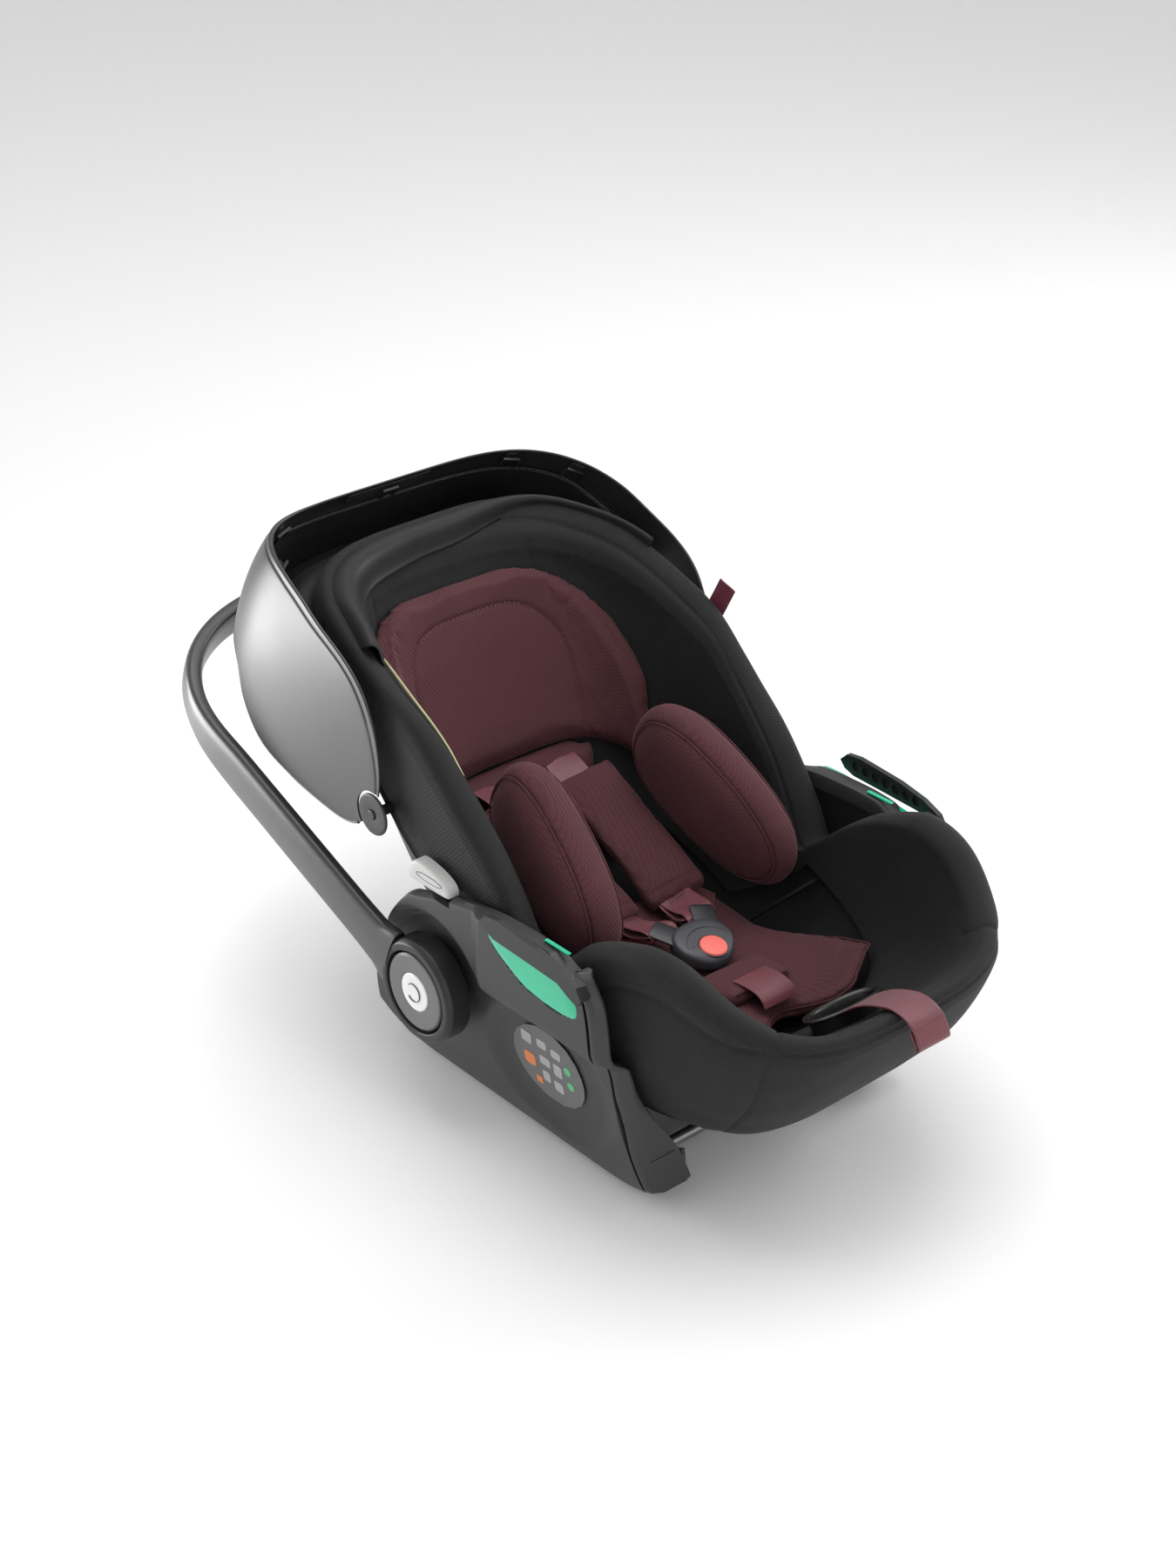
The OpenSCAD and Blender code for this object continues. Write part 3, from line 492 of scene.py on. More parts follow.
def plastic(name, colour, rough=0.5, grain=0.12, size=1300, vary=0.08, **sockets):
    """Moulded plastic: spark-eroded grain, uneven gloss and slightly rubbed patches."""
    m, nt, b = new_material(name, colour, rough, **sockets)
    pos = node(nt, "TexCoord").outputs["Object"]
    slow = noise(nt, pos, 9, 4)
    gloss = math_node(nt, "ADD", math_node(nt, "MULTIPLY", slow, vary * 2), rough - vary)
    nt.links.new(gloss, b.inputs["Roughness"])
    colour_by(nt, b, slow, [(0.3, shade(colour, 1 - vary)), (0.7, shade(colour, 1 + vary))])
    bump(nt, b, noise(nt, pos, size, 2), grain)
    return m


def webbing(name, colour):
    """Tight satin webbing: cross ribs, a lengthwise herringbone and a slow mottle."""
    m, nt, b = new_material(name, colour, 0.36, Sheen_Weight=0.2, Specular_IOR_Level=0.6, Anisotropic=0.4)
    vec = weave_of(nt)
    height = weighted(nt, waves(nt, vec, 0.0016, (0, 0, 0)), 0.6, waves(nt, vec, 0.0030, (0, 0, 1.5708)), 0.4)
    tone = weighted(nt, height, 0.6, noise(nt, node(nt, "TexCoord").outputs["Object"], 30, 3), 0.4)
    colour_by(nt, b, tone, [(0.2, shade(colour, 0.62)), (0.8, shade(colour, 1.35))])
    bump(nt, b, height, 0.5)
    return m


MAROON = (0.078, 0.026, 0.031)
GREY = (0.028, 0.0285, 0.030)
TWILL = fabric("twill_black", (0.0125, 0.0125, 0.0132), rough=0.74, sheen=0.13)
TWILL_OBJ = fabric("twill_black_loose", (0.012, 0.012, 0.0125), rough=0.7, object_space=True, sheen=0.12,
                   turns=((0.4, 0.3, 0.6), (1.2, 0.5, -0.8)))
INSERT = fabric("insert_maroon_pad", MAROON, pitch=0.0026, object_space=True, contrast=0.42, sheen=0.22,
                turns=((0.35, 0.5, 0.62), (1.1, -0.3, -0.9)))
LINING = fabric("hood_lining_satin", (0.013, 0.013, 0.0135), rough=0.42, pitch=0.0014, contrast=0.2,
                strength=0.22, sheen=0.15)
SHELL = plastic("shell_grey", GREY)
BASE = plastic("base_grey", GREY, rough=0.45)
BLACK = plastic("black_plastic", (0.013, 0.013, 0.014), rough=0.42)
HANDLE = plastic("handle_satin", (0.024, 0.0245, 0.026), rough=0.33, Specular_IOR_Level=0.75)
HOOD = plastic("hood_satin", (0.019, 0.019, 0.0205), rough=0.36, grain=0.15, size=900,
               Specular_IOR_Level=0.65)
FOAM = plastic("liner_foam", (0.62, 0.62, 0.60), rough=0.9, grain=0.6, size=420)
TEAL = plastic("teal_gloss", (0.0, 0.50, 0.27), rough=0.2, grain=0.02, Coat_Weight=0.5, Coat_Roughness=0.08)
PALE = plastic("light_grey_plastic", (0.56, 0.555, 0.545), rough=0.45)
LABEL = plastic("label_film", (0.115, 0.115, 0.118), rough=0.5, grain=0.03)
STEEL = plastic("zinc_steel", (0.42, 0.42, 0.43), rough=0.32, grain=0.05, Metallic=1.0)
DISC = plastic("disc_grey", (0.13, 0.131, 0.134), rough=0.4)
DISC_RIM = plastic("disc_dark", (0.03, 0.03, 0.032), rough=0.4)
BADGE = plastic("badge_white", (0.78, 0.78, 0.78), rough=0.35, grain=0.02, Coat_Weight=0.3)
BADGE_INK = plastic("badge_grey", (0.12, 0.12, 0.125), rough=0.4, grain=0.02)
BUCKLE = plastic("buckle_dark", (0.045, 0.047, 0.055), rough=0.42, grain=0.06)
CORAL = plastic("button_coral", (0.86, 0.16, 0.13), rough=0.38, grain=0.03)
TONGUE = plastic("tongue_coated", (0.05, 0.05, 0.055), rough=0.35, Metallic=0.6)
BEZEL = plastic("bezel_satin", (0.012, 0.012, 0.012), rough=0.28, grain=0.03)
WEB = webbing("webbing_burgundy", (0.150, 0.028, 0.040))
TAG = webbing("tag_burgundy", (0.115, 0.012, 0.028))
THREAD = plastic("thread_maroon", (0.075, 0.028, 0.040), rough=0.6, grain=0.3)
THREAD_LILAC = plastic("thread_lilac", (0.145, 0.070, 0.100), rough=0.5, grain=0.3)
THREAD_BLACK = plastic("thread_black", (0.010, 0.010, 0.011), rough=0.6, grain=0.3)
PIPING = plastic("piping_pale", (0.62, 0.60, 0.34), rough=0.6, grain=0.5, size=900)
BEIGE = plastic("piping_beige", (0.30, 0.27, 0.21), rough=0.7, grain=0.5, size=900)
# The lip's cord is real; its tone, lighter than the hood, is a painted highlight along the edge
HOOD_EDGE_HIGHLIGHT = plastic("hood_edge_painted_highlight", (0.05, 0.05, 0.052), rough=0.35, grain=0.1)
ZIP_TEETH = plastic("zip_teeth", (0.33, 0.33, 0.33), rough=0.35, grain=0.05)
ORANGE = plastic("label_orange", (0.66, 0.19, 0.05), rough=0.5, grain=0.02)
BLANK = plastic("label_blank", (0.34, 0.34, 0.34), rough=0.5, grain=0.02)
GREEN = plastic("label_green", (0.10, 0.42, 0.20), rough=0.5, grain=0.02)


# ---------------------------------------------------------------- seat form, as in the CAD source
HALF_W = [[-60, 1], [0, 0], [60, -3], [110, -8], [160, -19], [210, -39], [250, -67], [285, -111]]
FRONT = [[-60, -2], [0, -4], [60, -1], [110, 14], [150, 40], [210, 150], [246, 240], [285, 360]]
BACK = [[-60, 716], [0, 714], [30, 702], [90, 636], [190, 520], [260, 440], [285, 408]]
FRONT_K = [[0, 0.6], [60, 1.5], [100, 2.1], [143, 2.4], [190, 2.5], [285, 3]]
RIM = [[0, 0], [60, -8], [118, -20], [160, -10], [190, 14], [218, 46], [240, 82], [258, 104], [276, 102],
       [300, 82], [325, 62], [350, 44], [385, 24], [415, 9], [455, -8], [510, -14], [580, -16], [650, -8],
       [715, 0]]
APRON = [[0, 165], [200, 165], [260, 128], [500, 128], [600, 76], [720, 62]]
FOOT_CREST = [[0, 16], [3, 6], [9.5, 0.5], [18, -1.5], [26.5, 1.5], [33, 9], [34, 22]]
HEAD_CREST = [[0, 16], [2.5, 5], [7, 0], [13, 1.5], [21, 5.5], [29, 11.5], [34, 23]]
TILT = math.radians(19)


def outline(a, v, d):
    """The seat's level section at angle a, depth v and d in from its skin: x, and u towards the head."""
    w = 191 + curve(v, HALF_W) - d
    uf = curve(v, FRONT) + d * curve(v, FRONT_K)
    ub = curve(v, BACK) - d * 1.5
    s = np.sin(np.radians(a))
    n = np.where(s < 0, 3.8, 3.6)
    taper = np.where(s < 0, (1 + 0.07 * s * smooth(v / 150)) * (1 + 0.04 * s**4), 1)
    return w * taper * spow(np.cos(np.radians(a)), 2 / n), (uf + ub) / 2 + (ub - uf) / 2 * spow(s, 2 / n)


def world(x, u, v):
    """From the reclined seat's own x, u towards the head and v down, to x, y, z."""
    return np.stack(np.broadcast_arrays(x, -402 + u * math.cos(TILT) + v * math.sin(TILT),
                                        218 + u * math.sin(TILT) - v * math.cos(TILT)), -1)


def seat(a, v, d):
    """A point on the bowl: angle a round it, v down from its rim plane, d in from its skin."""
    a, v, d = np.broadcast_arrays(np.asarray(a, float), np.asarray(v, float), np.asarray(d, float))
    x, u = outline(a, v, d)
    return world(x, u, v)


def rim_v(a):
    """The rim's height at an angle, as a depth below its plane."""
    a = np.asarray(a, float)
    return curve(outline(a, 0 * a, 17 + 0 * a)[1], RIM)


def even_angles(a0, a1, step, d=0):
    """Angles about step mm apart along the rim."""
    a = np.linspace(a0, a1, 1500)
    P = seat(a, rim_v(a), d)
    s = run_length(P)
    return np.interp(np.linspace(0, s[-1], int(s[-1] / step)), s, a)


foot_line, head_line = spline(FOOT_CREST, 34), spline(HEAD_CREST, 34)


def cover_grid(a, inner_end, skirt_rows=56, in_rows=52):
    """The cover's outer face: one row per angle, from the hem over the crest and down inside."""
    rv = rim_v(a)[:, None]
    hem = np.maximum(curve(outline(a, 0 * a, 0 * a)[1], APRON)[:, None], rv + 40)
    f = np.linspace(0, 1, skirt_rows, endpoint=False)[None]
    g = np.linspace(0, 1, in_rows)[None, 1:]
    crest = mix(foot_line, head_line, smooth((np.sin(np.radians(a)) + 0.35) / 0.7)[:, None, None])
    inside = mix(rv + 23, np.maximum(inner_end, rv + 50), g)
    v = np.hstack([mix(hem, rv + 16, f), rv + crest[:, :, 1], inside])
    d = np.hstack([0 * f + 0 * rv, crest[:, :, 0], 34 + 0 * g + 0 * rv])
    G = seat(a[:, None] + 0 * v, v, d)
    top = skirt_rows + 17
    s = np.zeros(v.shape)
    s[:, 1:] = np.cumsum(np.linalg.norm(np.diff(G, axis=1), axis=2), axis=1)
    s = s - s[:, top:top + 1]
    return G, s


def cross_seam(a, G, angle):
    """Signed distance in mm of each grid point from the seam at an angle."""
    step = np.linalg.norm(np.gradient(G, axis=0), axis=2)
    da = np.gradient(a)[:, None]
    return (a[:, None] - angle) / da * step


# ---------------------------------------------------------------- covers
CUP = np.array([0, -321, 184.0])
CUP_LEAN = rot("x", -30)


def inside_cup(P):
    """Whether points lie in the oval opening of the adjuster cup."""
    q = (P - CUP) @ CUP_LEAN
    return ((q[..., 0] / 38) ** 2 + (q[..., 1] / 19.5) ** 2 < 1) & (np.abs(q[..., 2]) < 24)


def cover(name, a, inner_end, seam_at, cross, node_name, extra=None):
    """A sewn cover over the rim: a seam along it, seams across it, a hem, and soft unevenness."""
    G, s = cover_grid(a, inner_end)
    N = normals(G)
    if ((G[:, 60] - G[:, 60].mean(0)) * N[:, 60] * [1, 1, 0]).sum() < 0:
        N = -N
    lift = wobble(G, 150, 0.9, 3) + wobble(G, 55, 0.3, 4)
    x = s + curve(a, seam_at)[:, None]
    lift += groove(x)
    lift += 1.2 * np.exp(-(((s + 5) / 16) ** 2))
    for angle, lo, hi in cross:
        e = cross_seam(a, G, angle)
        fade = smooth((s - lo) / 6) * smooth((hi - s) / 6)
        lift += groove(e, 1.9, 1.7, 0.8, 10) * fade
    hem = s - s[:, :1]
    lift += -1.5 * np.exp(-(((hem - 11) / 1.5) ** 2)) + 0.8 * np.exp(-(((hem - 5) / 4.5) ** 2))
    if extra is not None:
        lift += extra(a, G, s)
    top = G + N * lift[..., None]
    w = np.stack([np.broadcast_to(run_length(G[:, 72])[:, None], s.shape), s, 0 * s], -1)
    o = slab(name, top, G - N * 2.4, TWILL, slot="cover_fabric", nodes=[node_name], weave=w, sharp=None)
    return o, top


FRONT_SEAM = [[186, 60], [205, 46], [221, 36], [236, 20], [250, 15], [270, 14], [290, 15], [304, 20],
              [319, 36], [335, 46], [350, 58]]
cover_f, front_top = cover("cover_front_sewn", even_angles(185.4, 354.6, 2.4), 118, FRONT_SEAM,
                           [(236.5, -400, 30), (303.5, -400, 30)], "cover_front")


def open_cup(o):
    """Cuts the cup's opening out of a cloth."""
    b = bmesh.new()
    b.from_mesh(o.data)
    gone = [f for f in b.faces if inside_cup(unframed(f.calc_center_median()))]
    bmesh.ops.delete(b, geom=gone, context="FACES")
    b.to_mesh(o.data)
    b.free()


open_cup(cover_f)

BACK_SEAM = [[-12, -19], [0, -15], [40, -10], [90, -8], [140, -10], [180, -15], [192, -19]]


def wing_panels(a, G, s):
    """Seams down the inside of each wing."""
    inner = smooth((s - 25) / 12)
    return sum(groove(cross_seam(a, G, k), 1.8, 1.9, 0.7, 10) * inner for k in (66, 114))


cover_b, back_top = cover("cover_back_sewn", even_angles(-4.8, 184.8, 3.2), 200, BACK_SEAM,
                          [(36, -300, -30), (144, -300, -30)], "cover_back", wing_panels)
for end, T in (("front", front_top), ("back", back_top)):
    hem_path = T[:, 0] + [0, 0, 0.4]
    sweep("hem_piping_" + end, spline(hem_path[::6], 260), circle(2.3), TWILL, slot="cover_fabric")

# The front edge of each wing of the back cover, bound with a soft piping
for k, row in enumerate((back_top[0], back_top[-1])):
    sweep("wing_edge_%d" % k, spline(row[::5], 200), circle(2.0), TWILL, slot="cover_fabric")

# Pale piping strip along the inside of the near wing
strip_a = np.linspace(150, 176, 60)
strip_drop = curve(strip_a, [[150, 15], [158, 12], [168, 12], [176, 15]])
sweep("wing_piping_near", seat(strip_a, rim_v(strip_a) + strip_drop - 1.5, 29.5), circle(1.0, 8, 1.6), PIPING,
      slot="cover_fabric")

# Burgundy tag sewn to the far rim
u, w = np.meshgrid(np.linspace(0, 22, 14), np.linspace(-3, 25, 20), indexing="ij")
tag = np.stack([0.6 + 0.4 * np.sin(u / 3.5), u, w], -1) @ (rot("x", 19) @ rot("y", 14)).T
tag += seat(8, rim_v(8.0), 0) + [1.4, -8, -9]
slab("rim_tag_woven", tag + [0.5, 0, 0.2], tag - [0.5, 0, 0.2], TAG, slot="webbing", nodes=["rim_tag"])


# ---------------------------------------------------------------- shell, liner and base
ring_a = even_angles(0, 360, 6.5)[:-1]


def bowl_rings(d, bottom, rows):
    """Rings round the bowl, from under the rim to its floor."""
    f = np.linspace(0, 1, rows)[None]
    rv = rim_v(ring_a)[:, None]
    return seat(ring_a[:, None] + 0 * f, mix(rv + 20, bottom, f), d)


outer, inner = bowl_rings(4.5, 282, 60), bowl_rings(8.5, 277, 60)
io = numbered(outer)
ii = io + io.size
make("seat_shell_moulded", stack(outer, inner),
     [quads(io, True), quads(ii, True)[:, ::-1], strip(io[:, 0], ii[:, 0]),
      io[:, -1][None], ii[::-1, -1][None]],
     SHELL, slot="shell_plastic", nodes=["seat_shell"])

# Black lining cloth over the foam inside the bowl, down to its floor
bowl_a = even_angles(0, 360, 7)[:, None]
wall = seat(bowl_a, mix(rim_v(bowl_a) + 42, 240.5, np.linspace(0, 1, 50)[None]), 30.6)
mid = wall[:-1, -1].mean(0)
fan = np.linspace(0, 0.97, 26)[1:, None, None]
G = np.concatenate([wall, np.moveaxis(mix(wall[None, :, -1], mid, fan), 0, 1)], 1)
N = normals(G)
if (N[:, 20] * (G[:, 20] - mid)).sum() > 0:
    N = -N
G = G + N * (0.6 + wobble(G, 120, 0.5, 9))[..., None]
bowl_lining = slab("bowl_lining_cloth", G, G - N * 0.9, TWILL, slot="cover_fabric", sharp=None)
open_cup(bowl_lining)


def bevel(node_name, material, width):
    """A CAD part that stays: its own mesh, a fine edge radius and its own material."""
    o = NODES[node_name]
    o.data.materials.clear()
    o.data.materials.append(material)
    if width:
        b = o.modifiers.new("edge", "BEVEL")
        b.width, b.segments, b.limit_method, b.angle_limit = width, 2, "ANGLE", math.radians(30)
        b.harden_normals = False


for k, material, width in (("foam_liner", FOAM, 0), ("base_deck", BASE, 0.0008),
                           ("deck_screws", STEEL, 0.0004),
                           ("front_bar", STEEL, 0.0006), ("rear_bar", STEEL, 0.0006),
                           ("hub_gears", STEEL, 0.0003), ("hub_axles", STEEL, 0.0005),
                           ("hub_springs", STEEL, 0), ("adjuster_lever", BUCKLE, 0.0006),
                           ("hood_clips", BLACK, 0.0005)):
    bevel(k, material, width)
for _, side in SIDES:
    bevel("belt_hook_" + side, BLACK, 0.0006)
    bevel("rail_window_" + side, TEAL, 0.0001)
    bevel("adapter_socket_" + side, BLACK, 0.0008)
    bevel("side_label_" + side, LABEL, 0)

FRONT_EDGE = [[0, -258], [20, -262], [90, -252], [160, -244], [225, -236], [256, -214]]
REAR_EDGE = [[0, 120], [30, 124], [70, 118], [110, 106], [170, 85], [215, 66], [250, 52]]
BOTTOM = [[-262, 27], [-240, 16], [-205, 3], [-178, 0], [44, 0], [76, 6], [100, 19], [122, 40]]
TOP = [[-262, 240], [-228, 246], [-206, 254], [-121, 254], [-65, 250], [4, 240], [60, 226], [82, 216],
       [100, 180], [122, 100]]
OUTER = [[0, 147], [14, 158], [40, 169], [80, 179], [120, 186], [158, 191], [172, 200], [186, 203],
         [256, 203]]
GUIDE = np.array([[-90, 251], [-93, 241], [-105, 229], [-120, 220], [-142, 210], [-165, 206], [-192, 205],
                  [-210, 208], [-214, 216], [-210, 230], [-204, 244], [-150, 250]], float)


def panel_x(y, z):
    """The side panel's outer face: proud over the belt path, hollow round the label, flat by the hub."""
    y, z = np.broadcast_arrays(np.asarray(y, float), np.asarray(z, float))
    r = np.hypot((y + 144) / 92, (z - 100) / 76)
    out = 8 * smooth((-62 - y) / 20) * smooth((z - 158) / 16) * smooth((262 - z) / 14)
    x = curve(z, OUTER) + out - 6 * smooth((1 - r) / 0.32)
    return np.minimum(x, mix(189, x, smooth((np.hypot(y, z - HZ) - 64) / 14)))


def in_outline(y, z, poly):
    """Whether points lie in a closed outline."""
    c = np.zeros(np.broadcast(y, z).shape, bool)
    for (y1, z1), (y2, z2) in zip(poly, np.roll(poly, -1, 0)):
        c ^= ((z1 > z) != (z2 > z)) & (y < (y2 - y1) * (z - z1) / (z2 - z1 + 1e-12) + y1)
    return c


GUIDE_MID = [-155, 228]


def panel_y(z, f):
    """Across a side panel from its front edge to its rear edge."""
    return mix(curve(z, FRONT_EDGE) + 15, curve(z, REAR_EDGE), f)


def panel(s, side):
    """A side panel: an outer skin turned over at the top and the foot, hollow behind."""
    rows = []
    for f in np.linspace(0, 1, 170):
        y = mix(-247, 122, f)
        zb, zt = max(0, float(curve(y, BOTTOM))), float(curve(y, TOP))
        zs = mix(zb, zt, np.linspace(0.012, 0.985, 84))
        ys = panel_y(zs, f)
        xs = panel_x(ys, zs) - 2.5 * (1 - smooth((zt - zs) / 6)) ** 2 - 2.0 * np.exp(-(((zs - zb) / 5) ** 2))
        under_guide = in_outline(ys, zs, (GUIDE - GUIDE_MID) * 0.97 + GUIDE_MID)
        xo = np.where(under_guide, np.minimum(xs, 206.4), xs)
        top_x = float(panel_x(y, zt - 8))
        in_x = min(191, top_x - 12)
        lip = min(26, 0.25 * (zt - zb))
        loop = [[112, zb + lip], [112, zb + 1.2], [113.2, zb], [float(xo[0]) - 14, zb],
                [float(xo[0]) - 5, zb + 0.4]]
        loop += [[x, z] for x, z in zip(xo, zs)]
        loop += [[top_x - 5, zt], [in_x + 4, zt], [in_x + 1.2, zt - 0.8], [in_x, zt - 3], [in_x, zt - 16],
                 [in_x + 3, zt - 16], [in_x + 3, zt - 6], [top_x - 8, zt - 6]]
        loop += [[min(x, 207.5) - 4, z] for x, z in zip(xs[::-1][6:-2:3], zs[::-1][6:-2:3])]
        loop += [[float(xs[0]) - 12, zb + 4], [116, zb + 4], [116, zb + lip]]
        x, z = np.array(loop).T
        rows.append(np.stack([s * x, panel_y(z, f), z], -1))
    G = np.array(rows)
    o = make("side_panel_moulded_" + side, G, tube_faces(G), BASE, slot="base_plastic",
             nodes=["side_panel_" + side])
    # The pocket that the release lever moves in
    pocket = [[x, y, z] for x in (s * 187, s * 212) for y in (-31.5, 27.5) for z in (231, 265)]
    sides = [[0, 1, 3, 2], [4, 6, 7, 5], [0, 4, 5, 1], [2, 3, 7, 6], [0, 2, 6, 4], [1, 5, 7, 3]]
    cutter = make("cut", pocket, [sides], BASE)
    b = o.modifiers.new("pocket", "BOOLEAN")
    b.operation, b.solver, b.object = "DIFFERENCE", "EXACT", cutter
    apply_modifiers(o)
    bpy.data.objects.remove(cutter)


def apply_modifiers(o):
    """Puts an object's modifiers into its mesh."""
    bpy.context.view_layer.update()
    me = bpy.data.meshes.new_from_object(o.evaluated_get(bpy.context.evaluated_depsgraph_get()))
    o.modifiers.clear()
    o.data = me
    me.shade_smooth()
    me.set_sharp_from_angle(angle=math.radians(38))


PILLAR_W = [[0, 44], [60, 44], [100, 26], [130, 17], [160, 13], [256, 13]]


def pillar(s, side):
    """The rounded post at a panel's front edge, and the thin plate at its foot."""
    z = np.concatenate([[24, 24.6, 26, 28, 31], np.linspace(36, 246, 90), [249, 251.2, 252.2]])
    end = smooth((z - 22) / 6) * 0.6 + 0.4
    y0 = curve(z, FRONT_EDGE) + 4 * (1 - smooth((z - 23) / 6)) + 3 * smooth((z - 246) / 7)
    xo = panel_x(-225, z) - 0.5 - 2 * (1 - end) - 2.5 * smooth((z - 247) / 6)
    wide = curve(z, PILLAR_W)
    y1 = curve(z, FRONT_EDGE) + 13 - 4 * smooth((z - 238) / 8)
    loops = []
    for x, w, a, b, h in zip(xo, wide, y0, y1, z):
        post = [[x - w, b], [x - w, a], [x - 10, a - 0.3], [x - 2.5, a + 3.4], [x, a + 9], [x, b]]
        q = rounded(post, 2.2, 5)
        loops.append(np.stack([s * q[:, 0], q[:, 1], 0 * q[:, 0] + h], -1))
    G = np.array(loops)
    make("front_pillar_moulded_" + side, G, tube_faces(G), BASE, slot="base_plastic",
         nodes=["front_pillar_" + side])
    foot = np.array([[[s * (float(panel_x(-225, q)) - 40 + t * 30),
                       float(curve(q, FRONT_EDGE)) - 0.9 + (0.8 if abs(t - 0.5) > 0.49 else 0), q]
                      for t in np.linspace(0, 1, 16)] for q in np.linspace(27, 62, 20)])
    slab("front_foot_plate_" + side, foot, foot + [0, 1.2, 0], BASE, slot="base_plastic")


def outline_plate(name, poly, x0, x1, s, material, edge, crown=0.0, n=120, **kw):
    """A plate with a smooth closed outline in (y, z), its outer edge rounded."""
    o = spline(poly, n, closed=True)
    c = o.mean(0)
    t = unit(np.roll(o, -1, 0) - np.roll(o, 1, 0))
    out = np.stack([t[:, 1], -t[:, 0]], -1)
    if ((o - c) * out).sum() < 0:
        out = -out
    rings = [(x0, 0), (x1 - edge, 0), (x1 - edge * 0.55, -0.14 * edge), (x1 - edge * 0.2, -0.45 * edge),
             (x1, -edge)]
    P = [np.stack([0 * o[:, 0] + x, *(o + out * q).T], -1) for x, q in rings]
    for q in (0.75, 0.5, 0.25):
        P.append(np.stack([0 * o[:, 0] + x1 + crown * (1 - q), *(c + (o - out * edge - c) * q).T], -1))
    idx = numbered(np.array(P))
    P = stack(*P, [x1 + crown, *c]) * [s, 1, 1]
    faces = [quads(np.hstack([idx, idx[:, :1]])), to_tip(idx[-1], idx.size), idx[:1, ::-1]]
    return make(name, P, faces, material, **kw)


def label_patch(s, side, k, cy, cz, w, h, material, r):
    """A thin coloured patch that follows the label's hollow."""
    o = round_box(w, h, r, 5) + [cy, cz]
    x = panel_x(*o.T)
    P = stack(np.stack([x + 2.02, *o.T], -1), np.stack([x + 2.35, *o.T], -1),
              [float(panel_x(cy, cz)) + 2.35, cy, cz])
    i = np.arange(len(o))
    faces = [strip(i, i + len(o)), to_tip(i + len(o), 2 * len(o))]
    make("label_patch_%s_%d" % (side, k), P * [s, 1, 1], faces, material, slot="label_film")


# Plain blank patches stand where the real label carries its pictures: y, z, width, height, colour, corner
PATCHES = [(-113, 104, 15, 14, ORANGE, 4), (-112, 128, 14, 12, BLANK, 2.5), (-133, 130, 13, 9, BLANK, 2.5),
           (-152, 128, 13, 9, BLANK, 2.5), (-166, 117, 9, 9, GREEN, 4.4), (-168, 101, 9, 9, GREEN, 4.4),
           (-135, 112, 14, 10, BLANK, 2.5), (-152, 110, 11, 14, BLANK, 2.5), (-134, 94, 10, 12, BLANK, 2.5),
           (-150, 90, 12, 12, BLANK, 2.5), (-122, 84, 8, 8, ORANGE, 1)]
LEVER = [[-30, 242], [-24, 238.5], [20, 238.5], [26, 242], [26, 250], [20, 257.5], [11, 260], [-11, 256.5],
         [-26, 250]]
for s, side in SIDES:
    panel(s, side)
    pillar(s, side)
    outline_plate("belt_guide_gloss_" + side, GUIDE, 206.2, 211.8, s, TEAL, 1.6, slot="teal_plastic",
                  nodes=["belt_guide_" + side])
    lever = dict(body="release_lever_" + side, slot="light_plastic")
    outline_plate("release_lever_soft_" + side, LEVER, 190.5, 203.6, s, PALE, 2.6, 0.3,
                  nodes=["release_lever_" + side], **lever)
    q = np.linspace(0, 2 * np.pi, 40, endpoint=False)
    oval = np.stack([0 * q + s * 203.9, 18 * np.cos(q) - 4, 248.5 + 3.2 * np.sin(q)], -1)
    sweep("release_lever_inset_" + side, oval, circle(0.35, 6), DISC, closed=True, **lever)
    for k, patch in enumerate(PATCHES):
        label_patch(s, side, k, *patch)


# ---------------------------------------------------------------- hubs and handle
for s, side in SIDES:
    turns = dict(body="handle", slot="black_plastic")
    button = dict(body="hub_button_" + side, slot="button_plastic")
    badge = dict(body="hub_button_" + side, slot="badge_plastic")
    for name, profile, r, n, material, on in (
            ("hub_ring_", [[9.2, 196.6], [51, 196.6], [51, 217.5], [47.5, 222], [41.2, 222], [40.4, 209.6],
                           [9.2, 209.6]], 1.6, 6, BLACK, dict(turns, nodes=["hub_housing_" + side])),
            ("hub_groove_", [[40.4, 209.7], [40.9, 209.7], [41.6, 221.2], [41.0, 221.6]], 0.2, 2, DISC_RIM,
             turns),
            ("hub_disc_", [[0.2, 214.8], [38.5, 214.8], [38.5, 219.4], [36.2, 221.7], [20.4, 220.9],
                           [19.4, 220.4], [0.2, 220.4]], 0.9, 5, DISC,
             dict(button, nodes=["hub_button_" + side])),
            ("hub_disc_rim_", [[36.9, 219.0], [38.6, 217.5], [38.6, 220.0], [37.2, 221.3]], 0.4, 3, DISC_RIM,
             button),
            ("hub_badge_disc_", [[0.2, 220.0], [18.8, 220.0], [18.8, 221.2], [17.6, 221.9], [0.2, 222.3]],
             0.5, 4, BADGE, dict(badge, nodes=["hub_badge_" + side]))):
        lathe(name + side, rounded(profile, r, n), material, s, **on)
    # Generic motif: a plain open ring
    q = np.radians(np.linspace(40, 320, 60))
    arc = np.stack([0 * q + s * 222.15, 9 * np.cos(q), HZ + 9 * np.sin(q)], -1)
    sweep("hub_badge_ring_" + side, arc, circle(0.5, 6, 1.3), BADGE_INK, up=[1, 0, 0], **badge)


def handle_path(n):
    """The handle's centre line: across, and out from the hinge axis."""
    e = np.linspace(0, 180, 4001)
    x = 215 * spow(np.cos(np.radians(e)), 2 / 2.7)
    r = 300 + 188 * np.sin(np.radians(e)) ** (2 / 2.7)
    up = np.linspace(36, 300, 400)[:-1]
    P = np.vstack([np.stack([215 + 0 * up, up], -1), np.stack([x, r], -1),
                   np.stack([-215 + 0 * up, up[::-1]], -1)])
    return spline(P[::12], n)


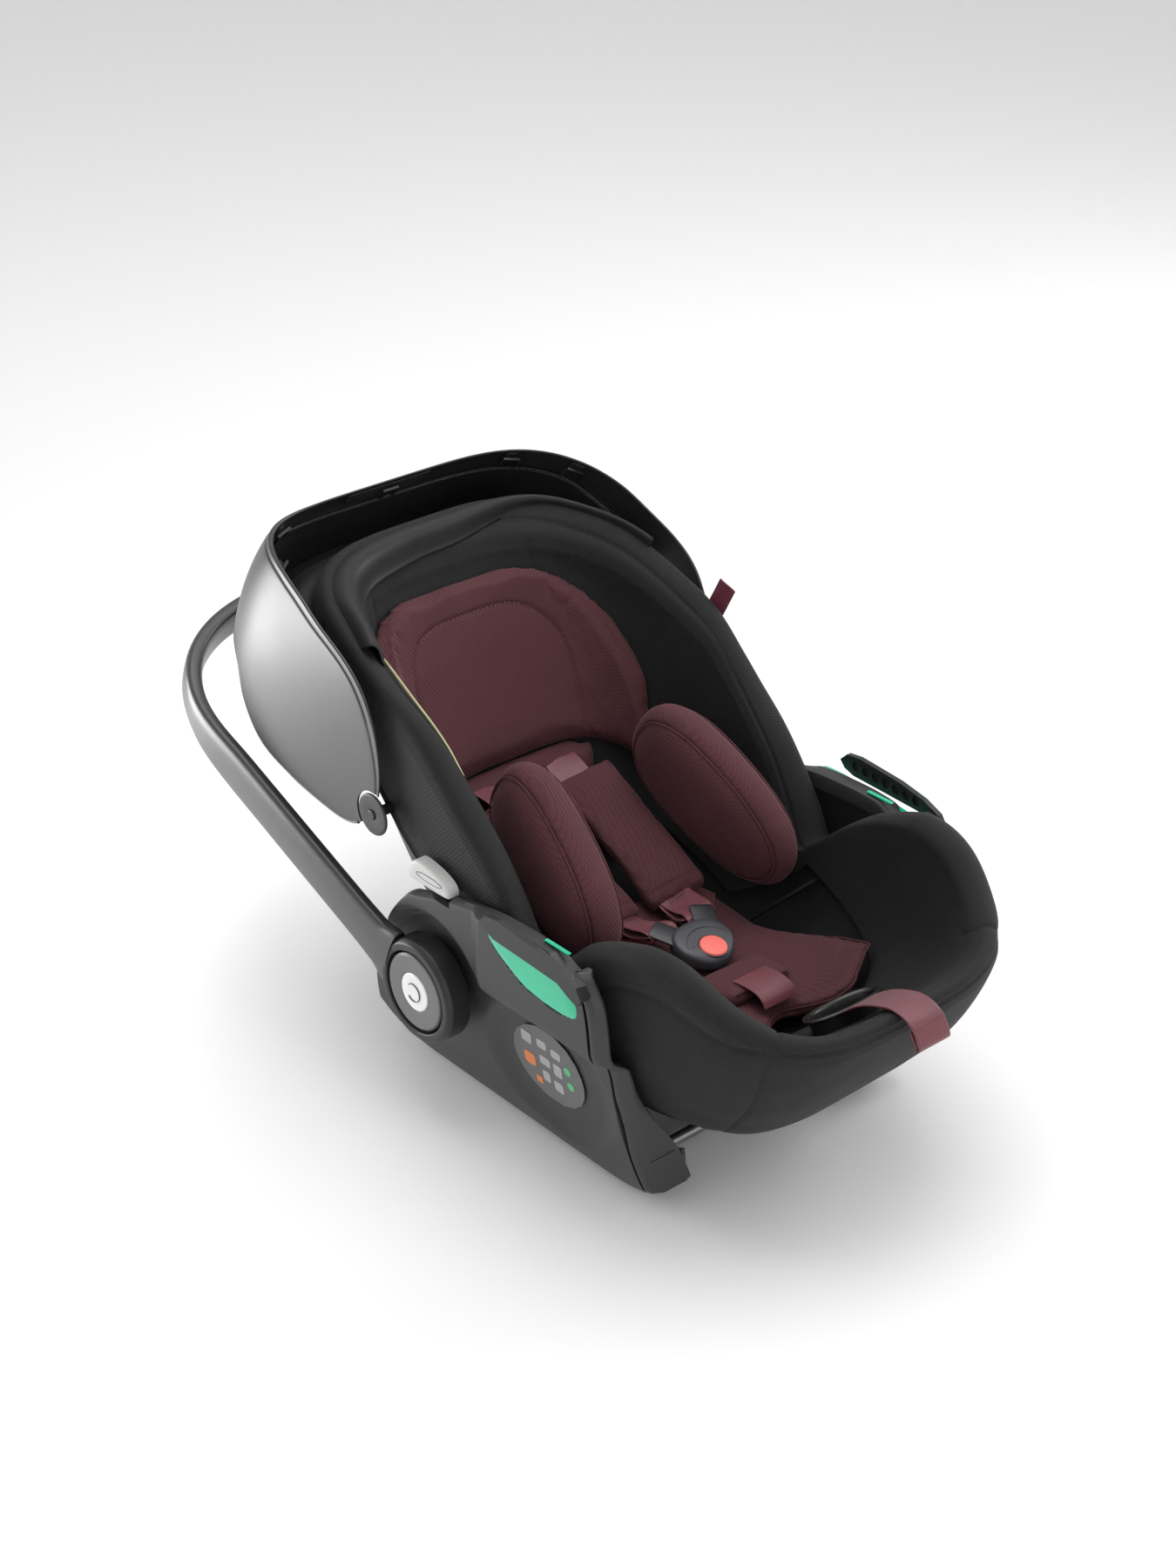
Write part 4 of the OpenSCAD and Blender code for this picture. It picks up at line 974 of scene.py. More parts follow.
hp = handle_path(330)
t = unit(np.gradient(hp, axis=0))
hang = math.radians(22)
q = np.linspace(0, 2 * np.pi, 44, endpoint=False)[None]
q, c = spow(np.sin(q), 0.62), spow(np.cos(q), 0.62)
far = hp[:, 1:]
wider = 0.42 * smooth((400 - far) / 110) + 0.12 * smooth((110 - far) / 70) + 0.4 * smooth((66 - far) / 26)
depth = 18 * (1 + wider) * q
grip = smooth((far - 380) / 60)
arm = 1 - smooth((far - 300) / 60)
# The arm's outer face falls away from a ridge above its middle
c = (8.5 + 0.8 * grip) * c * (1 - 0.34 * arm * smooth((0.35 - q) / 1.3) * (1 - grip))
x, r = hp[:, :1] + t[:, 1:] * c, far - t[:, :1] * c
G = np.stack([x, r * math.cos(hang) - depth * math.sin(hang),
              HZ + r * math.sin(hang) + depth * math.cos(hang)], -1)
make("handle_tube", G, tube_faces(G), HANDLE, body="handle", slot="black_plastic", nodes=["handle_bar"],
     weave=arcs(G))


# ---------------------------------------------------------------- hood
HOOD_AXIS = np.array([0, 79, 279])
LIP = [[24, 112], [60, 101], [100, 91], [125, 84], [171, 67], [210, 58], [249, 50], [276, 45], [305, 40]]
BACKPHI = [[24, -40], [74, -17], [126, -6], [180, 1], [216, 9], [240, 16], [305, 18]]


def hood_profile(e, d):
    """The hood's section through its axis at angle e, d in from its skin: x and radius."""
    e = np.radians(np.asarray(e, float))
    return (203 - d) * spow(np.cos(e), 2 / 4.7), (305 - d) * np.sin(e) ** (2 / 4.7)


def hood_point(x, r, phi):
    """From across, radius and angle about the hood's axis to x, y, z."""
    p = np.radians(phi)
    return np.stack(np.broadcast_arrays(x, HOOD_AXIS[1] + r * np.cos(p), HOOD_AXIS[2] + r * np.sin(p)), -1)


def hood_es(n, e0=0.4):
    """Angles evenly spaced along the hood's section, down to its hinges."""
    e = np.concatenate([np.geomspace(1e-3, e0, 60), np.linspace(e0, 90, 3000)[1:]])
    e = np.concatenate([e, 180 - e[::-1][1:]])
    x, r = hood_profile(e, 0)
    keep = r > 22
    e, x, r = e[keep], x[keep], r[keep]
    s = run_length(np.stack([x, r], -1))
    return np.interp(np.linspace(0, s[-1], n), s, e)


def hood_grid(es, d, f):
    """Points on the hood, from its back edge at f 0 to its lip at f 1."""
    x, r = hood_profile(es, d)
    back, lip = curve(r, BACKPHI)[:, None], curve(r, LIP)[:, None]
    return hood_point(x[:, None], r[:, None], mix(back, lip, f[None]))


es = hood_es(300)
f = np.linspace(0, 1, 110)
outer, inner = hood_grid(es, 0, f), hood_grid(es, 2.6, f)
N = facing(outer, (150, 55), outer[150, 55] - HOOD_AXIS)
lift = wobble(outer, 260, 1.0, 11)
lift += groove(cross_seam(f, np.swapaxes(outer, 0, 1), 0.955).T, 0.9, 1.3, 0.2, 5)
on_hood = dict(body="hood", slot="black_plastic")
slab("hood_band_satin", outer + N * lift[..., None], inner, HOOD, nodes=["hood_band"], sharp=50, **on_hood)
# The lip cord's lighter material is a painted highlight on a real edge
for name, at, n, r, material in (("hood_lip_edge", 1.0, 420, 1.0, HOOD_EDGE_HIGHLIGHT),
                                 ("hood_back_edge", 0.0, 360, 1.6, HOOD)):
    sweep(name, spline(hood_grid(es, 1.3, np.array([at]))[::3, 0], n), circle(r), material, **on_hood)

for s, side in SIDES:
    cap = rounded([[5.1, 200.4], [20.5, 200.4], [20.5, 202.2], [19, 202.9], [5.1, 203.0]], 0.7, 4)
    rivet = rounded([[0.2, 176], [5, 176], [5, 203.8], [4.2, 204.4], [0.2, 204.4]], 0.5, 4)
    lathe("hood_hinge_cap_" + side, cap, BLACK, s, HOOD_AXIS, 64,
          nodes=["hood_hinge_plates"] if s < 0 else [], **on_hood)
    lathe("hood_rivet_head_" + side, rivet, BLACK, s, HOOD_AXIS, 40, slot="rivet_plastic",
          nodes=["hood_rivets"] if s < 0 else [])

# Lining: hangs from the zip line to the head rim, in soft folds that gather at both sides
le = np.linspace(13, 167, 190)
lr = hood_profile(le, 4.2)[1]
back, lip = curve(lr, BACKPHI), curve(lr, LIP)
la = 90 - (90 - le) * 0.86
over = smooth((la - 52) / 50) * smooth((172 - la) / 26)
low = seat(la, rim_v(la) + mix(3, 13, over), mix(9.0, 33, over))
top_rim = seat(la, rim_v(la) - mix(1.5, 5, over), mix(4.0, 15, over))
rows = []
for i in range(len(le)):
    pts = [low[i], top_rim[i]]
    for q, inset in ((0.18, 9), (0.38, 7), (0.57, 4), (0.77, 0.5)):
        x, r = hood_profile(le[i], 4.2 + inset)
        pts.append(hood_point(x, r, mix(back[i], lip[i], q)))
    rows.append(spline(np.array([p.ravel() for p in pts]), 90))
G = np.array(rows)
N = facing(G, (95, 45), HOOD_AXIS - G[95, 45])
tt = np.linspace(0, 1, 90)[None]
side_amt = np.abs(le[:, None] - 90) / 77
loose = smooth((tt - 0.16) / 0.12) * smooth((0.97 - tt) / 0.15)
fold = 5.5 * np.sin(2 * np.pi * (3.4 * tt + 0.5 * side_amt)) * side_amt**1.2 * loose
crease = tt - 0.34 - 0.05 * np.cos(np.radians(le[:, None] * 2))
fold += 6 * np.exp(-((crease / 0.05) ** 2)) * smooth((1.1 - side_amt) / 0.4)
fold += 3.0 * np.sin(2 * np.pi * (2.6 * tt - le[:, None] / 90)) * loose
G = G + N * (fold * 0.9)[..., None]
lining = slab("hood_lining_cloth", G, G - N * 1.0, LINING, body=None, slot="cover_fabric",
              nodes=["hood_lining"], sharp=None)
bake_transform(lining)

# The zip under the hood, and the five tabs that hold the lining to its lip
zes = np.linspace(18, 162, 260)
tape = np.linspace(0.765, 0.80, 8)
slab("hood_zip_tape", hood_grid(zes, 4.0, tape), hood_grid(zes, 5.2, tape), LINING, body="hood",
     slot="zip_tape", nodes=["hood_zip"])
teeth_line = spline(hood_grid(zes, 5.9, np.array([0.783]))[::4, 0], 600)
stitches("hood_zip_teeth", teeth_line, ZIP_TEETH, body="hood", length=1.5, gap=1.1, r=0.85, out=[0, -1, -0.4],
         slot="zip_tape")
for k, e in enumerate([38, 64, 90, 116, 142]):
    ee = e + np.array([-2.2, -1, 0, 1, 2.2] if e == 90 else [-1.9, -0.9, 0, 0.9, 1.9])
    tab = np.linspace(0.885, 0.985, 8)
    slab("hood_clip_tab_%d" % k, hood_grid(ee, 4.2, tab), hood_grid(ee, 5.2, tab), TWILL_OBJ, body="hood",
         slot="cover_fabric")

# Gusset behind the head, from the seat's outer rim to the hood's back edge
ge = np.linspace(30, 150, 130)
gx, gr = hood_profile(ge, 13)
g_in = world(*outline(90 - (90 - ge) * 0.82, 40 + 0 * ge, -6 + 0 * ge), 36 + 0 * ge)
g_out = hood_point(gx * 0.93, gr, curve(np.abs(gx), [[0, 26], [120, 24], [175, 20], [200, 14]]))
tt = np.linspace(0, 1, 30)[None, :, None]
G = mix(g_in[:, None], g_out[:, None], tt)
N = normals(G)
G = G + N * (2.2 * np.sin(np.pi * tt[..., 0]) * np.sin(np.radians(ge[:, None] * 9)))[..., None]
gusset = slab("rear_gusset_cloth", G, G - N * 1.6, TWILL, slot="cover_fabric", nodes=["rear_gusset"],
              sharp=None)
sweep("rear_gusset_piping", G[:, 26] + N[:, 26] * 0.6, circle(0.9, 6), BEIGE, slot="cover_fabric")


# ---------------------------------------------------------------- padded insert
def read(me, what):
    """The places or the normals of a mesh's points."""
    out = np.empty(len(me.vertices) * 3)
    me.vertices.foreach_get(what, out)
    return out.reshape(-1, 3)


def pad_mesh(name, P, faces):
    """A bare mesh object, to be stuffed."""
    me = bpy.data.meshes.new(name)
    me.from_pydata([tuple(p) for p in M(P).reshape(-1, 3)], [],
                   [tuple(int(q) for q in g) for part in faces for g in part])
    me.validate()
    bm = bmesh.new()
    bm.from_mesh(me)
    bmesh.ops.recalc_face_normals(bm, faces=bm.faces)
    bm.to_mesh(me)
    bm.free()
    o = bpy.data.objects.new(name, me)
    bpy.context.scene.collection.objects.link(o)
    return o


def stuffed(name, P, faces, node_name, seams, voxel=0.005, cap=0.006, down=0.35, fill=0.5, smooth_steps=4):
    """A sewn, filled form: remeshed, inflated as cloth, capped, refined, then its seams pulled in."""
    o = pad_mesh(name, P, faces)
    r = o.modifiers.new("remesh", "REMESH")
    r.mode, r.voxel_size, r.use_smooth_shade = "VOXEL", voxel, True
    apply_modifiers(o)
    sm = o.modifiers.new("s", "SMOOTH")
    sm.iterations, sm.factor = smooth_steps, 0.5
    apply_modifiers(o)
    rest, out = read(o.data, "co"), read(o.data, "normal")
    c = o.modifiers.new("cloth", "CLOTH")
    c.settings.quality = 4
    c.settings.use_pressure = True
    c.settings.uniform_pressure_force = 4.0
    c.settings.effector_weights.gravity = 0.0
    c.settings.tension_stiffness = c.settings.compression_stiffness = 12
    c.settings.bending_stiffness = 0.6
    c.collision_settings.use_collision = False
    c.point_cache.frame_start, c.point_cache.frame_end = 1, 20
    for fr in range(1, 21):
        bpy.context.scene.frame_set(fr)
    move = read(o.evaluated_get(bpy.context.evaluated_depsgraph_get()).data, "co") - rest
    o.modifiers.clear()
    bpy.context.scene.frame_set(1)
    move = move * np.minimum(1, cap / np.maximum(np.linalg.norm(move, axis=1, keepdims=True), 1e-9))
    # The face that lies on the seat fills out less
    o.data.vertices.foreach_set("co", (rest + move * np.where(out[:, 2:] < -0.3, down, 1.0)).ravel())
    o.data.update()
    q = o.modifiers.new("fine", "SUBSURF")
    q.levels = q.render_levels = 1
    apply_modifiers(o)
    me = o.data
    co, out = read(me, "co"), read(me, "normal")
    mm = unframed(co)
    tree = BVHTree.FromObject(o, bpy.context.evaluated_depsgraph_get())
    lines = []
    lift = wobble(mm, 60, 0.5, 5)
    for path, depth, width in seams:
        on = unframed([np.array(tree.find_nearest(Vector(p))[0]) for p in M(path)])
        lines.append(on)
        nearest = np.full(len(mm), 1e9)
        for q in on:
            nearest = np.minimum(nearest, ((mm - q) ** 2).sum(1))
        lift += groove(np.sqrt(nearest), depth, width, depth * 0.35, 10)
    me.vertices.foreach_set("co", (co + out * lift[:, None] / 1000).ravel())
    me.update()
    me.shade_smooth()
    me.materials.clear()
    me.materials.append(INSERT)
    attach(o, "root")
    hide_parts(node_name)
    return lines


def piping(name, path, n):
    """A thin cord round a cushion's seam."""
    sweep(name, spline(path, n, True), circle(0.9, 6), INSERT, closed=True, slot="insert_fabric")


def bowl_pad(a0, a1, top, bottom, thick, drop, na=120, nf=40, edge=11, corner=0):
    """Both faces of a pad that lies in the bowl between two angles, thinning to its edges."""
    a = np.linspace(a0, a1, na)[:, None]
    f = np.linspace(0, 1, nf)[None]
    off = np.abs(a - 90) / abs(a0 - 90)
    v = mix(top + drop * off**3 + corner * np.clip((off - 0.78) / 0.22, 0, 1) ** 2, bottom, f)
    base = seat(a, v, 36.5)
    along = run_length(base[:, nf // 2])
    across = np.linalg.norm(np.diff(base, axis=1), axis=2).sum(1)[:, None]
    e = np.minimum(np.minimum(along, along[-1] - along)[:, None], np.minimum(f, 1 - f) * across)
    th = thick * np.sqrt(1 - (1 - np.clip(e / edge, 0, 1)) ** 2)
    N = facing(base, (na // 2, nf // 2), [0, -1, 0.3])
    return base + N * (th + 0.6)[..., None], base - N * 0.6, N


# Head pad: lies round the head end of the bowl, with an arch stitched over the head
top, under, N = bowl_pad(24, 156, 27, 152, 12, 30, corner=26)
half = np.linspace(0, np.pi, 80)
arch_a = np.concatenate([np.full(40, 119.0), 90 + 29 * np.cos(half), np.full(40, 61.0)])
arch_v = np.concatenate([np.linspace(150, 86, 40), 86 - 42 * np.sin(half) ** 0.8, np.linspace(86, 150, 40)])
arch = spline(seat(arch_a, arch_v, 50.5)[::4], 420)
lines = stuffed("head_pad_sewn", *slab_form(top + N * wobble(top, 90, 0.8, 21)[..., None], under), "head_pad",
                [(arch, 2.6, 1.9)], voxel=0.0045, cap=0.0045, smooth_steps=3)
stitches("head_arch_stitches", lines[0][150:270] + [0, -1.2, 0.6], THREAD_LILAC, out=[0, -0.8, 0.5], r=0.5)

# Back pad below it
top, under, N = bowl_pad(60, 120, 147, 232, 10, 0, 70, 30)
middle = seat(90, np.linspace(153, 230, 60), 47)
stuffed("torso_pad_sewn", *slab_form(top, under), "torso_pad", [(middle, 1.5, 1.8)], cap=0.004)

# Bolsters: two egg-shaped cushions, each with a piped seam round both faces
EGG = [30, 55, 103]
EGG_TURN = rot("x", -58) @ rot("y", -8)
b = np.radians(np.linspace(-89, 89, 34))[:, None]
a = np.linspace(0, 2 * np.pi, 56, endpoint=False)[None]
p = 2 / 2.5
G = np.stack([EGG[0] * np.cos(b) ** p * spow(np.cos(a), p), EGG[1] * np.cos(b) ** p * spow(np.sin(a), p),
              EGG[2] * spow(np.sin(b), p) + 0 * a], -1)
G[..., 1] *= 1 + 0.10 * G[..., 2] / EGG[2]
q = np.linspace(0, 2 * np.pi, 320, endpoint=False)
for s, side in SIDES:
    def beside(P):
        return (P @ EGG_TURN.T + [98, -54, 245]) * [s, 1, 1]

    seams = [(beside(np.stack([x + 0 * q, 48 * spow(np.sin(q), 0.86) * (1 + 0.10 * np.cos(q)),
                               94 * spow(np.cos(q), 0.86)], -1)), 2.4, 1.9) for x in (19.0, -19.0)]
    lines = stuffed("bolster_sewn_" + side, beside(G.reshape(-1, 3)), tube_faces(G), "bolster_" + side, seams,
                    fill=0.75)
    for k, line in enumerate(lines):
        piping("bolster_piping_%s_%d" % (side, k), line[::5], 300)


# Seat pad: flat base with two leg lobes and a piped front edge
def seat_z(x, y):
    return (140 + 30 * (np.abs(x) / 110) ** 2 * smooth((-y - 100) / 160) + 12 * smooth((-y - 200) / 110)
            + 0.12 * np.maximum(0, y + 120))


def seat_pad_grid(dz, inset, n=90):
    """A level of the seat pad, dz under its top and inset from its outline."""
    across = np.linspace(-1, 1, n)[:, None]
    lobe = 26 * np.sin(np.pi * np.abs(across)) ** 1.5
    y = mix(-250 - lobe + inset, -20 - inset, np.linspace(0, 1, n)[None])
    x = across * (98 + 18 * smooth((-y - 120) / 90) - inset)
    return np.stack(np.broadcast_arrays(x, y, seat_z(x, y) - dz), -1)


top, bottom = seat_pad_grid(1.0, 4), seat_pad_grid(17, 9)
ring, faces = slab_faces(top)
edge, low_edge = (seat_pad_grid(*k).reshape(-1, 3)[ring] for k in ((4.5, 0.6), (10, 1.0)))
r1 = np.arange(len(ring)) + 2 * top[..., 0].size
r2 = r1 + len(ring)
faces += [strip(ring, r1), strip(r1, r2), strip(r2, ring + top[..., 0].size)]
lines = stuffed("seat_pad_sewn", stack(top, bottom, edge, low_edge), faces, "seat_pad",
                [(spline(edge[::4], 420, True), 1.4, 1.8)], cap=0.005)
piping("seat_pad_piping", lines[0][::6], 420)


# Shoulder pads
def chest(P, s):
    """Puts a shoulder pad's own points on the seat's back."""
    R = rot("x", 22) @ rot("z", -4) @ rot("y", -13)
    return (np.asarray(P, float) @ R.T + [36, -77, 175]) * [s, 1, 1]


def soft_box(w, l, h, r=6, ny=60):
    """A rounded cushion block, w by l by h, from y 0 to l and down from z 0."""
    sec = rounded([[-w / 2, 0], [w / 2, 0], [w / 2, -h], [-w / 2, -h]], r, 7)
    ys = np.concatenate([[0, 0.8, 2.5, 5], np.linspace(8, l - 8, ny), [l - 5, l - 2.5, l - 0.8, l]])
    end = np.minimum(ys, l - ys)
    k = 1 - 0.16 * (1 - np.clip(end / 6, 0, 1)) ** 2
    c = np.array([0, -h / 2])
    G = np.array([[[x, y, z] for x, z in (sec - c) * [1 - (1 - q) * 0.5, q * 0.98] + c]
                  for y, q in zip(ys, k)])
    return G.reshape(-1, 3), tube_faces(G)


for s, side in SIDES:
    P, faces = soft_box(65, 168, 19.5)
    P = P + [0, 1, -1]
    P[:, 2] += 2.2 * np.sin(np.pi * P[:, 1] / 170)
    seams = [([-32, 13, 1.0], [32, 13, 1.0], 60, 1.2, 1.6), ([-32, 157, 1.0], [32, 157, 1.0], 60, 0.9, 1.6),
             ([31.0, 2, -3.0], [31.0, 168, -3.0], 120, 1.0, 1.7)]
    lines = stuffed("shoulder_pad_sewn_" + side, chest(P, s), faces, "shoulder_pad_" + side,
                    [(chest(np.linspace(a, b, n), s), depth, width) for a, b, n, depth, width in seams],
                    voxel=0.004, cap=0.003, fill=0.55, down=1)
    stitches("shoulder_hem_stitches_" + side, lines[0] + [0, 0, 0.4], THREAD, out=[0, -0.35, 0.93], r=0.4,
             length=2.6, gap=1.6)

# Folded pad over the crotch strap
P, faces = soft_box(78, 50, 15, 7, 26)
P = P + [0, -25, 7.5]
P[:, 2] += 2.0 * np.cos(np.pi * P[:, 0] / 84)
fold = np.linspace([-30, -23.0, 3.0], [30, -23.0, 3.0], 60)
P, fold = (k @ rot("x", -7).T + [0, -198, 150.4] for k in (P, fold))
stuffed("buckle_pad_folded", P, faces, "buckle_pad", [(fold, 1.4, 1.7)], voxel=0.004, cap=0.003)


# ---------------------------------------------------------------- harness
def ribbon(name, path, width, thick, s=1, samples=120, **kw):
    """Webbing through [x, y, z, roll]: a flat strip with soft edges."""
    p = spline(path, samples)
    c = p[:, :3]
    T = unit(np.gradient(c, axis=0))
    roll = np.radians(p[:, 3])
    W = unit(np.stack([np.cos(roll), 0 * roll, np.sin(roll)], -1))
    W = unit(W - T * (W * T).sum(1, keepdims=True))
    w, h = width / 2, thick / 2
    corners = rounded([[-w, -h], [w, -h], [w, h], [-w, h]], thick * 0.45, 4)
    sec = []
    for a, b in zip(corners, np.roll(corners, -1, 0)):
        m = max(1, int(np.linalg.norm(b - a) / 1.5))
        sec += [a + (b - a) * j / m for j in range(m)]
    sec = np.array(sec)
    G = c[:, None] + W[:, None] * sec[None, :, :1] + np.cross(W, T)[:, None] * sec[None, :, 1:]
    weave = np.stack(np.broadcast_arrays(run_length(c)[:, None], sec[None, :, 0], 0), -1)
    return make(name, G * [s, 1, 1], tube_faces(G), WEB, weave=weave, slot="webbing", sharp=None, **kw)
WEB_PATH = [[46, 112, 236, 6], [42.5, 86, 229, 12], [39, 36, 209, 13], [35, -22, 185.6, 13],
            [32, -66, 167.8, 13], [29, -92, 164, 8], [25, -106, 168, 2], [23, -114, 172, 0]]
LOOP_PATH = [[33, -60, 169, 14], [31, -78, 168.5, 14], [28.5, -94, 171, 10], [25.5, -106, 174, 4],
             [23.5, -114, 173.5, 0], [23, -117.5, 169.5, 0], [24, -112, 166, 2], [26.5, -98, 163, 8],
             [30, -82, 161, 12]]
LAP_PATH = [[33, -114, 158, -20], [40, -104, 156, -25], [58, -86, 153, -25], [80, -62, 152, -20]]
for s, side in SIDES:
    ribbon("shoulder_web_" + side, WEB_PATH, 36, 1.6, s, nodes=["shoulder_webbing"] if s < 0 else [])
    ribbon("tongue_loop_" + side, LOOP_PATH, 33, 1.6, s)
    ribbon("lap_web_" + side, LAP_PATH, 22, 1.6, s, nodes=["lap_webbing"] if s < 0 else [])
    zig = [[20 + 20 * j / 12, -80 + 6 * (j % 2), 171.2 + (20 * j / 12 - 10) * 0.2 + j % 2] for j in range(13)]
    stitches("tongue_box_stitch_" + side, np.array(zig) * [s, 1, 1], THREAD_BLACK, length=2.4, gap=0.8, r=0.4,
             out=[0, -0.3, 0.95])


def buckle_frame(P):
    """Puts the buckle's own points on the seat."""
    return np.asarray(P, float) @ rot("x", 14).T + [0, -149, 156]


for s, side in SIDES:
    stations = zip([-14, -13.2, -11, -4, 4, 10, 14, 15.4, 16], [0.8, 0.9, 1, 1, 1, 1, 0.96, 0.88, 0.74])
    G = np.array([[[x * q, y, z + 1.5] for x, z in round_box(24, 3, 1.3, 4)] for y, q in stations])
    P = buckle_frame(G @ rot("z", -s * 28).T + [s * 23, 30, 8])
    make("tongue_plate_" + side, P, tube_faces(G), TONGUE, slot="buckle_plastic", nodes=["tongue_" + side])


def buckle_outline(k):
    """The buckle's outline at scale k, narrowing towards the crotch strap."""
    x, y = (circle(1, 72)).T
    x, y = 31.0 * spow(x, 0.85), 6 + 26 * spow(y, 0.85)
    low = y < 6
    x = np.where(low, x * (1 - 0.24 * smooth((6 - y) / 30)), x)
    y = np.where(low, 6 + (y - 6) * 1.1, y)
    c = np.array([0, 4.0])
    return (np.stack([x, y], -1) - c) * k + c


P = []
for k, z in ((0.90, 0), (0.98, 1.5), (1.0, 5), (1.0, 9.5), (0.97, 12.4), (0.90, 14.0), (0.75, 14.6),
             (0.55, 14.8)):
    x, y = buckle_outline(k).T
    P.append(np.stack([x, y, z - 2.2 * smooth((-y - 4) / 26) * (z > 8)], -1))
idx = numbered(np.array(P))
# The well round the press button
for r, z in ((14.2, 14.6), (13.9, 6)):
    P.append(np.hstack([circle(r, 72) + [0, -6], np.full((72, 1), z)]))
rim = idx[-1] + 72
make("buckle_shell", buckle_frame(stack(*P)),
     [quads(np.hstack([idx, idx[:, :1]])), strip(idx[-1], rim), strip(rim, rim + 72), idx[:1, ::-1],
      (rim + 72)[None]],
     BUCKLE, slot="buckle_plastic", nodes=["buckle_body"], sharp=45)
q = np.radians(np.linspace(18, 162, 60))
arc = np.stack([24.5 * np.cos(q), -5 + 23.5 * np.sin(q), 14.75 - 0.4 * np.abs(np.cos(q))], -1)
sweep("buckle_arc_line", buckle_frame(arc), circle(0.55, 6), BLACK, slot="buckle_plastic")
r, z = rounded([[0.2, 9], [13.3, 9], [13.3, 15.0], [12.2, 16.0], [6, 16.5], [0.2, 16.7]], 0.7, 5).T
x, y = circle(1, 64).T[..., None]
G = np.stack(np.broadcast_arrays(x * r, -6 + y * r, z), -1)
make("buckle_press_button", buckle_frame(G), tube_faces(G, torus=True), CORAL, body="buckle_button",
     slot="red_plastic", nodes=["buckle_button"])


def centred(points):
    """A ribbon's path along the seat's middle, from [y, z]."""
    return [[0, y, z, 0] for y, z in points]


CROTCH = [[-205, 161], [-216, 162.5], [-226, 163], [-235, 162], [-242, 158], [-246, 152]]
ribbon("crotch_web", centred(CROTCH), 40, 1.8, nodes=["crotch_strap"])


# ---------------------------------------------------------------- adjuster in the front
def cup(P):
    """Puts the adjuster cup's own points on the seat's front."""
    return np.asarray(P, float) @ CUP_LEAN.T + CUP


prof, z = rounded([[0, 0.4], [0.3, 2.2], [-1.6, 3.6], [-5.2, 3.4], [-7.6, 1.4], [-8.4, -4], [-10.5, -15.5],
                   [-13.5, -18.6], [-13.5, -20], [-5, -20], [-4.6, -0.4]], 0.9, 4).T
x, y = circle(1, 120).T[..., None]
rise = 1.6 * smooth(y + 0.2)
G = np.stack(np.broadcast_arrays((43 + prof) * spow(x, 0.92), (23 + prof * 0.86) * spow(y, 0.92),
                                 z + rise * (z > 0)), -1)
make("adjuster_bezel_satin", cup(G), tube_faces(G, torus=True), BEZEL, slot="black_plastic",
     nodes=["adjuster_bezel"])
fl = np.hstack([29.8 * spow(x, 0.92), 11.6 * spow(y, 0.92), 0 * x - 18.7])
i = np.arange(120)
make("adjuster_cup_floor", cup(stack(fl, fl - [0, 0, 0.8])),
     [i[None], i[::-1][None] + 120, strip(i, i + 120)], BEZEL, slot="black_plastic")

STRAP = [[-335, 193], [-341, 198.4], [-349, 205.4], [-361, 213.6], [-375, 220.2], [-392, 225.3],
         [-408, 223.4], [-419, 214.8], [-424.6, 203]]
ribbon("pull_strap_web", centred(STRAP), 38, 1.7, samples=160, nodes=["pull_strap"])
TAIL = [[-416, 219.5], [-421.5, 212], [-425.6, 203.5], [-425.4, 199.8], [-423.0, 200.6], [-419.8, 206],
        [-414, 214]]
ribbon("pull_strap_fold", centred(TAIL), 38, 1.5, samples=90)
stitches("pull_strap_stitch", np.linspace([-18, -418.6, 216.9], [18, -418.6, 216.9], 40), THREAD_BLACK,
         length=2.0, gap=1.3, r=0.55, out=[0, -0.7, 0.7])


